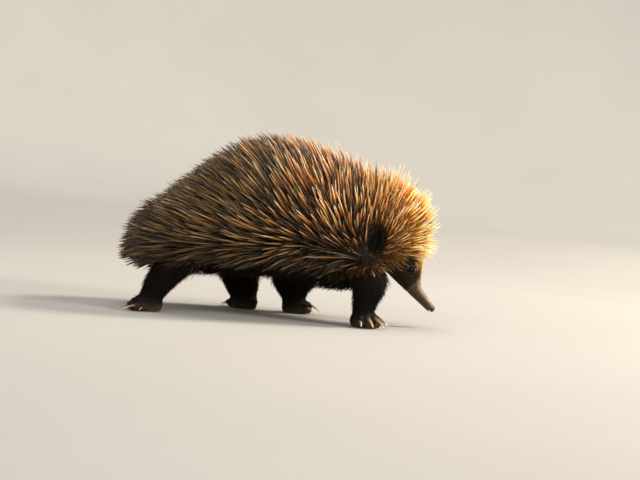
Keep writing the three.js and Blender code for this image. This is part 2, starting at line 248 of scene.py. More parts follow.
def leg_field(p, side, rows, foot):
    rows = np.array(rows[::-1], float)
    z = np.clip(p[:, 2], 7.0, 100.0)
    cx, cy = np.interp(z, rows[:, 0], rows[:, 1]), np.interp(z, rows[:, 0], rows[:, 2]) * side
    inset = 2.0 + 1.6 * step(z, 20, 80)
    rx, ry = np.interp(z, rows[:, 0], rows[:, 3]) - inset, np.interp(z, rows[:, 0], rows[:, 4]) - inset
    d = ray_distance(p[:, 0] - cx, p[:, 1] - cy, rx, ry)
    d = smax(d, p[:, 2] - 98.0, 6.0)
    centre, ahead, across, yaw = foot_frame(foot, side)
    q = p - centre
    local = np.stack([q @ ahead, q @ across, q[:, 2]], axis=1)
    core = ellipsoid(local, (-1.0, 0, 6.5), (foot["long"] - 1.6, foot["wide"] - 1.6, 12.5))
    for i in range(TOES):
        a = toe_angle(foot, i)
        r = foot_radius(foot, a)
        out = np.array((math.cos(a), math.sin(a), 0.0))
        if foot["fore"]:
            toe = capsule(local, out * (r - 12.5) + (0, 0, 11.2), out * (r - 5.2) + (0, 0, 9.2), 5.8, 5.1)
            pad = capsule(local, out * (r - 12.0) + (0, 0, 4.6), out * (r - 5.0) + (0, 0, 4.2), 4.6, 4.2)
            toe = smin(toe, pad, 2.0)
        else:
            toe = capsule(local, out * (r - 12.0) + (0, 0, 7.4), out * (r - 4.9) + (0, 0, 5.6), 4.9, 4.3)
        core = smin(core, toe, 2.0)
    return smin(d, core, 5.0)


def leg_part(p):
    """All four legs and feet together, and how far each point is along them."""
    out = np.full(len(p), 80.0)
    for side, rows, foot in LEGS.values():
        lowest = min(r[1] - r[3] for r in rows)
        highest = max(r[1] + r[3] for r in rows)
        near = (p[:, 2] < 112) & (p[:, 1] * side > 5) & (p[:, 0] > min(lowest, foot["x"] - 30) - 14) & (p[:, 0] < max(highest, foot["x"] + 30) + 14)
        if near.any():
            out[near] = np.minimum(out[near], leg_field(p[near], side, rows, foot))
    return out


def ear_coordinates(p):
    """Across and up the leaning ear, from its middle."""
    dx, dz = p[:, 0] - EAR_AT[0], p[:, 2] - EAR_AT[2]
    c, s = math.cos(EAR_LEAN), math.sin(EAR_LEAN)
    return dx * c - dz * s, dx * s + dz * c


EYE_AXIS = np.array((0.26, 0.95, 0.05))
EYE_AXIS = EYE_AXIS / np.linalg.norm(EYE_AXIS)


def details(p, d):
    """Ears, eye sockets, lids, nostrils, mouth and folds, on the near side of y = 0 mirrored to both."""
    m = p.copy()
    m[:, 1] = np.abs(m[:, 1])
    # ears
    near = (np.abs(m[:, 0] - EAR_AT[0]) < 26) & (np.abs(m[:, 2] - EAR_AT[2]) < 36) & (m[:, 1] > 24)
    if near.any():
        q = m[near]
        b, a = ear_coordinates(q)
        local = np.stack([b, q[:, 1] - 48.0, a + 1.0], axis=1)
        hollow = ellipsoid(local, (0, 0, 0), (7.2, 14, 17.0))
        rim_k = np.sqrt((b / 8.3) ** 2 + ((a + 1.0) / 18.6) ** 2)
        size = np.hypot(b, a + 1.0)
        rim = np.hypot(size - size / np.maximum(rim_k, 1e-4), q[:, 1] - 44.0 - 0.12 * b) - 0.9
        e = smax(d[near], -hollow, 2.5)
        d = d.copy()
        d[near] = smin(e, rim, 2.8)
    # eyes, lids and the folds round them
    near = (np.linalg.norm(m - EYE_AT, axis=1) < 20) & (m[:, 1] > 4)
    if near.any():
        q = m[near]
        e = d[near]
        v = q - EYE_AT
        along = v @ EYE_AXIS
        flat = v - along[:, None] * EYE_AXIS
        fore = flat @ np.array((SKULL_X, 0, SKULL_Z))
        rise = flat @ np.array((-SKULL_Z, 0, SKULL_X))
        around = np.hypot(fore / 1.12, rise / 0.96)
        brow = np.hypot(around - 7.4, (along - 0.9) * 1.3) - 1.0
        e = smin(e, brow, 3.6)
        e = smax(e, -(np.linalg.norm(v, axis=1) - (EYE_RADIUS + 0.12)), 0.5)
        lid = np.hypot(around - 4.15, along - 2.75) - 1.35
        e = smin(e, lid, 0.9)
        corner = np.hypot(fore - 6.0, rise + 0.6)
        e = e + 0.25 * np.exp(-((corner / 1.3) ** 2))
        d = d.copy()
        d[near] = e
    # nostrils, mouth and the small creases of the beak
    s, n = skull_coordinates(m)
    near = (s > 84) & (m[:, 1] < 14) & (n > 135)
    if near.any():
        q, e = m[near], d[near]
        t, w = s[near], n[near]
        local = np.stack([t - 127.6, q[:, 1] - 2.3, w - 160.3], axis=1)
        e = smax(e, -ellipsoid(local, (0, 0, 0), (1.9, 1.0, 1.2)), 0.5)
        mouth = np.stack([t - 129.6, q[:, 1], w - 152.2], axis=1)
        e = smax(e, -ellipsoid(mouth, (0, 0, 0), (4.6, 6.2, 0.55)), 0.4)
        creases = 0.10 * np.sin(t * 2.3 + 0.6 * np.sin(q[:, 1] * 0.9)) * step(t, 88, 94) * (1 - step(t, 108, 116))
        d = d.copy()
        d[near] = e + creases
    return d


def field(p):
    p = np.asarray(p, float)
    d = trunk_field(p)
    d = smin(d, face_field(p), 9.0)
    d = smin(d, leg_part(p), 10.0)
    d = details(p, d)
    return smax(d, 0.15 - p[:, 2], 1.2)


def slope(p, e=0.25):
    g = np.empty_like(p)
    for i in range(3):
        q = p.copy()
        q[:, i] += e
        r = p.copy()
        r[:, i] -= e
        g[:, i] = (field(q) - field(r)) / (2 * e)
    return g


def surface_net(low, high, h):
    """A closed quad mesh of the field's zero level on a regular grid."""
    low, high = np.array(low, float), np.array(high, float)
    n = np.ceil((high - low) / h).astype(int) + 1
    grid = np.stack(np.meshgrid(*[low[i] + h * np.arange(n[i]) for i in range(3)], indexing="ij"), axis=-1)
    f = field(grid.reshape(-1, 3)).reshape(n)
    inside = f < 0
    corners = [(i, j, k) for i in (0, 1) for j in (0, 1) for k in (0, 1)]
    count = sum(inside[i : n[0] - 1 + i, j : n[1] - 1 + j, k : n[2] - 1 + k].astype(np.int8) for i, j, k in corners)
    mixed = (count > 0) & (count < 8)
    cells = np.argwhere(mixed)
    number = np.full(mixed.shape, -1)
    number[mixed] = np.arange(len(cells))
    total, hits = np.zeros((len(cells), 3)), np.zeros(len(cells))
    for a in corners:
        for axis in range(3):
            if a[axis] == 0:
                b = list(a)
                b[axis] = 1
                fa = f[tuple((cells + a).T)]
                fb = f[tuple((cells + b).T)]
                cross = (fa < 0) != (fb < 0)
                t = np.where(cross, fa / np.where(cross, fa - fb, 1), 0)
                point = np.array(a, float)[None, :].repeat(len(cells), 0)
                point[:, axis] = t
                total += point * cross[:, None]
                hits += cross
    vertices = low + h * (cells + total / hits[:, None])
    quads = []
    for axis in range(3):
        u, v = (axis + 1) % 3, (axis + 2) % 3
        first = [slice(None)] * 3
        second = [slice(None)] * 3
        first[axis], second[axis] = slice(0, -1), slice(1, None)
        a, b = inside[tuple(first)], inside[tuple(second)]
        e = np.argwhere(a != b)
        e = e[(e[:, u] > 0) & (e[:, v] > 0) & (e[:, u] < n[u] - 1) & (e[:, v] < n[v] - 1)]
        du, dv = np.eye(3, dtype=int)[u], np.eye(3, dtype=int)[v]
        q = np.stack([number[tuple((e - du - dv).T)], number[tuple((e - dv).T)], number[tuple(e.T)], number[tuple((e - du).T)]], axis=1)
        start_inside = a[tuple(e.T)]
        quads.append(np.where(start_inside[:, None], q, q[:, ::-1]))
    return vertices, np.concatenate(quads)


def project(p, rounds=3, limit=1.2):
    for _ in range(rounds):
        f, g = field(p), slope(p)
        move = -(f / np.maximum((g * g).sum(1), 0.04))[:, None] * g
        size = np.linalg.norm(move, axis=1, keepdims=True)
        p = p + move * np.minimum(1, limit / np.maximum(size, 1e-9))
    return p


def grab(mesh_or_bm):
    verts = mesh_or_bm.verts
    co = np.empty(len(verts) * 3)
    for i, v in enumerate(verts):
        co[3 * i : 3 * i + 3] = v.co
    return co.reshape(-1, 3)


def refine(bm, wanted):
    """Splits in four the faces whose middle the function picks."""
    bm.faces.ensure_lookup_table()
    middles = np.array([f.calc_center_median() for f in bm.faces])
    picked = wanted(middles)
    edges = {e for f, on in zip(bm.faces, picked) if on for e in f.edges}
    bmesh.ops.subdivide_edges(bm, edges=list(edges), cuts=1, use_grid_fill=True)
    bm.verts.ensure_lookup_table()
    co = project(grab(bm), 2, 0.8)
    for v, c in zip(bm.verts, co):
        v.co = c


def near_feet(p, height):
    out = np.zeros(len(p), bool)
    for side, rows, foot in LEGS.values():
        out |= (p[:, 2] < height) & (np.hypot(p[:, 0] - foot["x"], p[:, 1] - foot["y"] * side) < 34)
    return out


def near_ear(p, grow=1.0):
    b, a = ear_coordinates(p)
    return (np.hypot(b / (11 * grow), a / (20 * grow)) < 1) & (np.abs(p[:, 1]) > 30)


def build_skin():
    vertices, quads = surface_net((-186, -98, -6), (212, 98, 216), 2.8)
    vertices = project(vertices)
    mesh = bpy.data.meshes.new("skin")
    mesh.from_pydata(vertices.tolist(), [], quads.tolist())
    bm = bmesh.new()
    bm.from_mesh(mesh)

    def first(p):
        s, n = skull_coordinates(p)
        face = (s > 46) & (np.abs(p[:, 1]) < 30) & (p[:, 0] > 130) & (p[:, 2] < 108)
        return face | near_feet(p, 26) | near_ear(p, 1.25)

    def second(p):
        s, n = skull_coordinates(p)
        m = p.copy()
        m[:, 1] = np.abs(m[:, 1])
        return ((s > 88) & (p[:, 0] > 150) & (p[:, 2] < 70)) | (np.linalg.norm(m - EYE_AT, axis=1) < 13) | near_ear(p, 1.0)

    def third(p):
        s, n = skull_coordinates(p)
        m = p.copy()
        m[:, 1] = np.abs(m[:, 1])
        return ((s > 122) & (p[:, 0] > 150) & (p[:, 2] < 60)) | (np.linalg.norm(m - EYE_AT, axis=1) < 9)

    for rule in (first, second, third):
        refine(bm, rule)
    bmesh.ops.triangulate(bm, faces=[f for f in bm.faces if len(f.verts) > 4])
    bm.to_mesh(mesh)
    bm.free()
    mesh.update()
    return mesh


skin_mesh = build_skin()
count = len(skin_mesh.vertices)
skin_points = np.empty(count * 3)
skin_mesh.vertices.foreach_get("co", skin_points)
skin_points = skin_points.reshape(-1, 3)
skin_normals = unit(slope(skin_points, 0.6))
skin_mesh.calc_loop_triangles()
skin_triangles = np.empty(len(skin_mesh.loop_triangles) * 3, np.int32)
skin_mesh.loop_triangles.foreach_get("vertices", skin_triangles)
skin_triangles = skin_triangles.reshape(-1, 3)


def leg_share(p):
    """1 on the legs and feet, 0 on the trunk."""
    legs, rest = leg_part(p), np.minimum(trunk_field(p), face_field(p))
    return step(rest - legs, -2.0, 8.0)


skull_s, skull_n = skull_coordinates(skin_points)
on_face = (skin_points[:, 0] > 140) & (skin_points[:, 2] < 110)
masks = {
    "bare": np.where(on_face, step(skull_s, 84, 92), 0),
    "along": np.where(on_face, np.clip((skull_s - 40) / 95, 0, 1), 0),
    "front": step(skin_normals @ np.array((-SKULL_Z, 0, SKULL_X)), 0.15, 0.95) * on_face,
    "ear": step(1.3 - np.hypot(ear_coordinates(skin_points)[0] / 10.0, (ear_coordinates(skin_points)[1] + 1.5) / 21.0), 0, 0.35) * (np.abs(skin_points[:, 1]) > 26),
    "foot": near_feet(skin_points, 200) * step(20 - skin_points[:, 2], 0, 10) * (skin_points[:, 2] < 20),
    "sole": step(1.6 - skin_points[:, 2], 0, 1.2),
    "leg": leg_share(skin_points),
    "head": step(skin_points[:, 0], 90, 150),
    "lid": np.exp(-((np.linalg.norm(np.stack([skin_points[:, 0], np.abs(skin_points[:, 1]), skin_points[:, 2]], 1) - EYE_AT, axis=1) - 6.0) / 2.4) ** 2),
}
for name, values in masks.items():
    skin_mesh.attributes.new(name, "FLOAT", "POINT").data.foreach_set("value", values.astype(np.float32))


def to_metres(mesh):
    co = np.empty(len(mesh.vertices) * 3)
    mesh.vertices.foreach_get("co", co)
    co = co.reshape(-1, 3)
    co[:, 0] += SHIFT_X
    mesh.vertices.foreach_set("co", (co * MM).ravel().astype(np.float32))
    mesh.update()


# ---------------------------------------------------------------- node materials
def colour(r, g, b):
    def linear(v):
        v /= 255.0
        return v / 12.92 if v <= 0.04045 else ((v + 0.055) / 1.055) ** 2.4

    return (linear(r), linear(g), linear(b), 1.0)


class Shader:
    """A short way to lay out a material's nodes."""

    def __init__(self, name):
        self.material = bpy.data.materials.new(name)
        self.material.use_nodes = True
        self.tree = self.material.node_tree
        self.surface = next(n for n in self.tree.nodes if n.type == "BSDF_PRINCIPLED")

    def add(self, kind, **inputs):
        node = self.tree.nodes.new(kind)
        for key, value in inputs.items():
            self.put(node.inputs[int(key[1:]) if key[0] == "i" and key[1:].isdigit() else key], value)
        return node

    def put(self, socket, value):
        if isinstance(value, bpy.types.NodeSocket):
            self.tree.links.new(value, socket)
        else:
            socket.default_value = value

    def attribute(self, name):
        node = self.tree.nodes.new("ShaderNodeAttribute")
        node.attribute_name = name
        return node.outputs["Fac"]

    def math(self, operation, a, b=0.0, clamp=False):
        node = self.tree.nodes.new("ShaderNodeMath")
        node.operation, node.use_clamp = operation, clamp
        self.put(node.inputs[0], a)
        self.put(node.inputs[1], b)
        return node.outputs[0]

    def ranged(self, value, a, b, c=0.0, d=1.0, smooth=False):
        node = self.tree.nodes.new("ShaderNodeMapRange")
        node.clamp = True
        node.interpolation_type = "SMOOTHSTEP" if smooth else "LINEAR"
        for i, v in enumerate((value, a, b, c, d)):
            self.put(node.inputs[i], v)
        return node.outputs[0]

    def ramp(self, value, stops):
        node = self.tree.nodes.new("ShaderNodeValToRGB")
        band = node.color_ramp
        while len(band.elements) > 1:
            band.elements.remove(band.elements[-1])
        band.elements[0].position, band.elements[0].color = stops[0]
        for place, shade in stops[1:]:
            band.elements.new(place).color = shade
        self.put(node.inputs[0], value)
        return node.outputs[0]

    def mix(self, share, a, b, blend="MIX"):
        node = self.tree.nodes.new("ShaderNodeMix")
        node.data_type, node.blend_type = "RGBA", blend
        self.put(node.inputs[0], share)
        self.put(node.inputs[6], a)
        self.put(node.inputs[7], b)
        return node.outputs[2]

    def scaled(self, shade, value):
        """A colour times a number."""
        node = self.tree.nodes.new("ShaderNodeVectorMath")
        node.operation = "SCALE"
        self.put(node.inputs[0], shade)
        self.put(node.inputs[3], value)
        return node.outputs[0]

    def noise(self, scale, detail=3.0, rough=0.55, stretch=None, distortion=0.0):
        place = self.tree.nodes.new("ShaderNodeTexCoord").outputs["Object"]
        if stretch is not None:
            node = self.tree.nodes.new("ShaderNodeMapping")
            node.inputs["Scale"].default_value = stretch
            self.put(node.inputs["Vector"], place)
            place = node.outputs[0]
        node = self.tree.nodes.new("ShaderNodeTexNoise")
        self.put(node.inputs["Vector"], place)
        node.inputs["Scale"].default_value = scale
        node.inputs["Detail"].default_value = detail
        node.inputs["Roughness"].default_value = rough
        node.inputs["Distortion"].default_value = distortion
        return node.outputs[0]

    def cells(self, scale, feature="F1"):
        place = self.tree.nodes.new("ShaderNodeTexCoord").outputs["Object"]
        node = self.tree.nodes.new("ShaderNodeTexVoronoi")
        node.feature = feature
        self.put(node.inputs["Vector"], place)
        node.inputs["Scale"].default_value = scale
        return node.outputs["Distance"]

    def bump(self, height, strength, distance, before=None):
        node = self.tree.nodes.new("ShaderNodeBump")
        self.put(node.inputs["Strength"], strength)
        node.inputs["Distance"].default_value = distance
        self.put(node.inputs["Height"], height)
        if before is not None:
            self.put(node.inputs["Normal"], before)
        return node.outputs[0]

    def finish(self, shade, roughness=0.5, normal=None, **sockets):
        self.put(self.surface.inputs["Base Color"], shade)
        self.put(self.surface.inputs["Roughness"], roughness)
        if normal is not None:
            self.put(self.surface.inputs["Normal"], normal)
        for key, value in sockets.items():
            self.surface.inputs[key.replace("_", " ")].default_value = value
        return self.material


def quill_material():
    s = Shader("quill_horn")
    t, rnd, rnd2, zone, high = (s.attribute(k) for k in ("t", "rnd", "rnd2", "zone", "high"))
    shifted = s.math("ADD", t, s.math("MULTIPLY", s.math("SUBTRACT", rnd, 0.5), 0.34))
    rear = s.ramp(
        shifted,
        [
            (0.0, colour(44, 30, 15)),
            (0.18, colour(96, 66, 30)),
            (0.36, colour(138, 99, 40)),
            (0.58, colour(136, 103, 50)),
            (0.74, colour(116, 92, 60)),
            (0.88, colour(98, 82, 62)),
            (1.0, colour(124, 108, 84)),
        ],
    )
    # The shoulder's spines: orange and gold with pale tips, partly their own colour and partly painted highlights.
    shoulder = s.ramp(
        shifted,
        [
            (0.0, colour(62, 32, 10)),
            (0.22, colour(120, 62, 20)),
            (0.44, colour(178, 92, 22)),
            (0.66, colour(212, 132, 48)),
            (0.84, colour(232, 182, 120)),
            (1.0, colour(252, 230, 200)),
        ],
    )
    # The head's spines: pale cream and yellow, partly their own paler colour and partly painted glow of light shining
    # through them from behind.
    head = s.ramp(
        shifted,
        [
            (0.0, colour(120, 66, 18)),
            (0.18, colour(214, 138, 46)),
            (0.36, colour(252, 204, 98)),
            (0.56, colour(255, 238, 156)),
            (0.78, colour(255, 248, 206)),
            (1.0, colour(255, 253, 238)),
        ],
    )
    shade = s.mix(s.ranged(zone, 0.0, 0.5), rear, shoulder)
    shade = s.mix(s.ranged(zone, 0.5, 1.0), shade, head)
    dark = s.ramp(t, [(0.0, colour(40, 28, 16)), (0.5, colour(80, 62, 42)), (0.85, colour(92, 77, 58)), (1.0, colour(122, 108, 88))])
    ruddy = s.ramp(t, [(0.0, colour(50, 24, 8)), (0.5, colour(106, 54, 22)), (0.8, colour(138, 82, 46)), (1.0, colour(184, 144, 112))])
    dark = s.mix(s.ranged(zone, 0.25, 0.75), dark, ruddy)
    shade = s.mix(s.ranged(rnd2, 0.62, 0.40), shade, dark)
    streak = s.noise(420.0, 2.0, 0.6)
    fine = s.ranged(streak, 0.3, 0.7, 0.82, 1.16)
    level = s.math("MULTIPLY", s.ranged(rnd2, 0.0, 1.0, 0.80, 1.12), fine)
    # Darker low on the sides and round the parting behind the ear, where high is 0: painted shade, with some of the
    # coat's own darker colour low down.
    level = s.math("MULTIPLY", level, s.ranged(high, 0.0, 1.0, 0.36, 1.0))
    # Darker towards the roots: painted shade among the crowded spines.
    root = s.ranged(t, 0.0, 0.40, 0.40, 1.0, smooth=True)
    shade = s.scaled(shade, s.math("MULTIPLY", level, root))
    normal = s.bump(s.noise(1500.0, 2.0), 0.25, 0.0002)
    return s.finish(shade, s.ranged(streak, 0.3, 0.7, 0.38, 0.54), normal, Specular_IOR_Level=0.36, Coat_Weight=0.06, Coat_Roughness=0.3)


def fur_material(name, base, middle, tip, gold=None, lighten=1.0, specular=0.16):
    s = Shader(name)
    t, rnd = s.attribute("t"), s.attribute("rnd")
    shade = s.ramp(s.math("ADD", t, s.math("MULTIPLY", s.math("SUBTRACT", rnd, 0.5), 0.25)), [(0.0, base), (0.5, middle), (1.0, tip)])
    if gold is not None:
        bright = s.ramp(t, [(0.0, gold[0]), (0.6, gold[1]), (1.0, gold[2])])
        shade = s.mix(s.attribute("zone"), shade, bright)
    level = s.math("MULTIPLY", s.ranged(rnd, 0.0, 1.0, 0.6, 1.35), s.ranged(s.noise(260.0), 0.3, 0.7, 0.85, 1.15))
    # Lighter where the high attribute is 1: on the underfur and long hair this is painted light up high and painted
    # shade low down; the ear fur uses it for its lower end.
    level = s.math("MULTIPLY", level, s.ranged(s.attribute("high"), 0.0, 1.0, 1.0, lighten))
    shade = s.scaled(shade, level)
    normal = s.bump(s.noise(2500.0, 2.0), 0.2, 0.0002)
    return s.finish(shade, s.ranged(s.noise(300.0), 0.3, 0.7, 0.6, 0.78), normal, Specular_IOR_Level=specular)


def skin_material():
    s = Shader("skin")
    bare, along, front, ear, foot, sole, leg, head, lid = (s.attribute(k) for k in ("bare", "along", "front", "ear", "foot", "sole", "leg", "head", "lid"))
    broad, fine, speck = s.noise(34.0, 4.0), s.noise(340.0, 5.0, 0.65), s.noise(1300.0, 3.0)
    coat = s.ramp(broad, [(0.3, colour(30, 20, 12)), (0.7, colour(52, 36, 22))])
    # Lighter, warmer skin under the head's spines: painted light among them.
    coat = s.mix(s.math("MULTIPLY", head, 0.9), coat, s.ramp(broad, [(0.3, colour(70, 40, 14)), (0.7, colour(104, 62, 24))]))
    legs = s.ramp(fine, [(0.3, colour(9, 7, 6)), (0.7, colour(20, 16, 12))])
    shade = s.mix(leg, coat, legs)
    face = s.ramp(fine, [(0.25, colour(17, 12, 8)), (0.75, colour(38, 28, 18))])
    shade = s.mix(s.ranged(along, 0.08, 0.2), shade, face)
    # Gold on the face's front edge: painted rim light.
    gold = s.ramp(fine, [(0.3, colour(120, 78, 38)), (0.7, colour(184, 132, 76))])
    shade = s.mix(s.math("MULTIPLY", s.math("MULTIPLY", s.ranged(front, 0.5, 1.0), s.ranged(along, 0.16, 0.3)), 0.35), shade, gold)
    beak = s.ramp(fine, [(0.25, colour(42, 30, 22)), (0.5, colour(66, 50, 37)), (0.8, colour(92, 73, 56))])
    edge = s.math("ADD", bare, s.math("MULTIPLY", s.math("SUBTRACT", fine, 0.5), 0.5))
    shade = s.mix(s.ranged(edge, 0.35, 0.65, smooth=True), shade, beak)
    # Pale on the beak's upper front: partly real dust and partly a painted highlight along the edge.
    dust_and_edge_highlight = s.math("MULTIPLY", s.math("MULTIPLY", front, bare), s.ranged(s.noise(330.0, 5.0, 0.7), 0.30, 0.66))
    shade = s.mix(s.math("MULTIPLY", dust_and_edge_highlight, 0.85), shade, s.ramp(speck, [(0.3, colour(146, 121, 94)), (0.7, colour(212, 188, 156))]))
    tip = s.ranged(along, 0.90, 0.97)
    shade = s.mix(s.math("MULTIPLY", tip, 0.75), shade, colour(36, 30, 27))
    shade = s.mix(s.math("MULTIPLY", lid, 0.8), shade, s.ramp(speck, [(0.3, colour(26, 21, 18)), (0.7, colour(54, 44, 37))]))
    # Near black over the ear: painted shade in its hollow.
    shade = s.mix(ear, shade, s.ramp(fine, [(0.3, colour(9, 9, 8)), (0.7, colour(24, 21, 18))]))
    toes = s.ramp(fine, [(0.25, colour(26, 20, 16)), (0.75, colour(66, 50, 38))])
    shade = s.mix(foot, shade, toes)
    shade = s.mix(sole, shade, s.ramp(fine, [(0.3, colour(92, 74, 62)), (0.7, colour(132, 110, 94))]))
    pores = s.bump(s.cells(900.0), 0.35, 0.0004)
    wrinkles = s.bump(fine, 0.5, 0.0009, pores)
    wrinkles = s.bump(s.cells(330.0), s.math("MULTIPLY", foot, 0.7), 0.0012, wrinkles)
    rough = s.ranged(s.math("ADD", bare, ear), 0.0, 1.0, 0.82, 0.55)
    return s.finish(shade, rough, wrinkles, Specular_IOR_Level=0.3)


def eye_material():
    s = Shader("eye")
    shade = s.ramp(s.attribute("iris"), [(0.0, colour(3, 2, 2)), (0.42, colour(5, 4, 3)), (0.50, colour(24, 14, 8)), (0.74, colour(17, 10, 7)), (0.9, colour(8, 6, 6)), (1.0, colour(30, 23, 20))])
    shade = s.scaled(shade, s.ranged(s.noise(900.0), 0.3, 0.7, 0.75, 1.2))
    normal = s.bump(s.noise(220.0, 1.0), 0.01, 0.0002)
    return s.finish(shade, 0.04, normal, Specular_IOR_Level=0.13)


def claw_material():
    s = Shader("claw_horn")
    t = s.attribute("t")
    grain = s.noise(500.0, 4.0, 0.6)
    # Paler towards the tip: partly the horn's own paler tips and partly painted glints.
    shade = s.ramp(s.math("ADD", t, s.math("MULTIPLY", s.math("SUBTRACT", grain, 0.5), 0.25)), [(0.0, colour(52, 38, 27)), (0.30, colour(112, 86, 62)), (0.7, colour(164, 134, 100)), (1.0, colour(208, 184, 150))])
    dirt = s.ranged(s.noise(240.0, 4.0, 0.7), 0.5, 0.68)
    shade = s.mix(s.math("MULTIPLY", dirt, 0.6), shade, colour(66, 50, 36))
    normal = s.bump(grain, 0.4, 0.0004)
    return s.finish(shade, s.ranged(grain, 0.3, 0.7, 0.16, 0.30), normal)


# ---------------------------------------------------------------- scattering roots over the skin
def scatter(mask, spacing, seed, plenty=7.0):
    """Points on the skin where mask(points, normals) holds, no two nearer than spacing(points). Returns points and normals."""
    rng = np.random.default_rng(seed)
    a, b, c = (skin_points[skin_triangles[:, i]] for i in range(3))
    areas = 0.5 * np.linalg.norm(np.cross(b - a, c - a), axis=1)
    middles = (a + b + c) / 3
    normals = unit(skin_normals[skin_triangles].mean(1))
    kept = mask(middles, normals)
    near = spacing(middles)
    weights = np.where(kept, areas / near**2, 0)
    wanted = int(plenty * 0.75 * weights.sum())
    picks = rng.choice(len(weights), wanted, p=weights / weights.sum())
    u, v = rng.random(wanted), rng.random(wanted)
    over = u + v > 1
    u[over], v[over] = 1 - u[over], 1 - v[over]
    w = np.stack([1 - u - v, u, v], 1)
    points = (skin_points[skin_triangles[picks]] * w[:, :, None]).sum(1)
    normals = unit((skin_normals[skin_triangles[picks]] * w[:, :, None]).sum(1))
    reach = spacing(points)
    tree = KDTree(wanted)
    rows = points.tolist()
    for i, row in enumerate(rows):
        tree.insert(row, i)
    tree.balance()
    dead = bytearray(wanted)
    chosen = []
    for i in range(wanted):
        if not dead[i]:
            chosen.append(i)
            for _, j, _ in tree.find_range(rows[i], float(reach[i])):
                dead[j] = 1
    chosen = np.array(chosen)
    good = mask(points[chosen], normals[chosen])
    chosen = chosen[good]
    return points[chosen], normals[chosen]


# ---------------------------------------------------------------- the outside of the coat, for the spines' length
COAT = np.array(
    [
        (-206.5, 70, 70, 70, 0),
        (-202, 54, 93, 72, 30),
        (-188, 46.5, 113, 76, 56),
        (-165, 43.5, 136, 82, 76),
        (-132, 44, 169, 92, 93),
        (-92, 46, 203, 100, 103),
        (-50, 47.5, 230, 105, 107),
        (0, 48, 237, 107, 104),
        (42, 49, 229.5, 109, 94),
        (82, 53, 216.5, 112, 81),
        (115, 64, 207.5, 118, 69),
        (146, 78, 201, 126, 59),
        (172, 88, 185.5, 131, 46.5),
        (193, 91, 163, 129, 30),
        (204.5, 125, 125, 125, 0),
    ],
    float,
)


def coat_tree(along=112, around=72):
    rows = np.vstack([2 * COAT[0] - COAT[1], COAT, 2 * COAT[-1] - COAT[-2]])
    spots = np.linspace(0, len(COAT) - 1, along)
    sections = []
    for s in spots:
        i = min(int(s), len(COAT) - 2)
        u = s - i
        p0, p1, p2, p3 = rows[i : i + 4]
        m1, m2 = (p2 - p0) / 2, (p3 - p1) / 2
        sections.append((2 * u**3 - 3 * u**2 + 1) * p1 + (u**3 - 2 * u**2 + u) * m1 + (3 * u**2 - 2 * u**3) * p2 + (u**3 - u**2) * m2)
    points, faces = [], []
    for x, low, high, wide, half in sections:
        for k in range(around):
            angle = 2 * math.pi * k / around
            c, s = math.cos(angle), math.sin(angle)
            power = 2.06 if s > 0 else 2.45
            y = max(half, 0) * math.copysign(abs(c) ** (2 / power), c)
            rise = abs(s) ** (2 / power)
            z = wide + (high - wide) * rise if s > 0 else wide - (wide - low) * rise
            points.append((x, y, z))
    for i in range(along - 1):
        for k in range(around):
            n = (k + 1) % around
            faces.append((i * around + k, i * around + n, (i + 1) * around + n, (i + 1) * around + k))
    return BVHTree.FromPolygons(points, faces)


def reach_of(tree, roots, ways, far):
    out = np.zeros(len(roots))
    for i, (r, w) in enumerate(zip(roots.tolist(), ways.tolist())):
        hit = tree.ray_cast(Vector(r), Vector(w), far)
        out[i] = hit[3] if hit[0] is not None else far
    return out


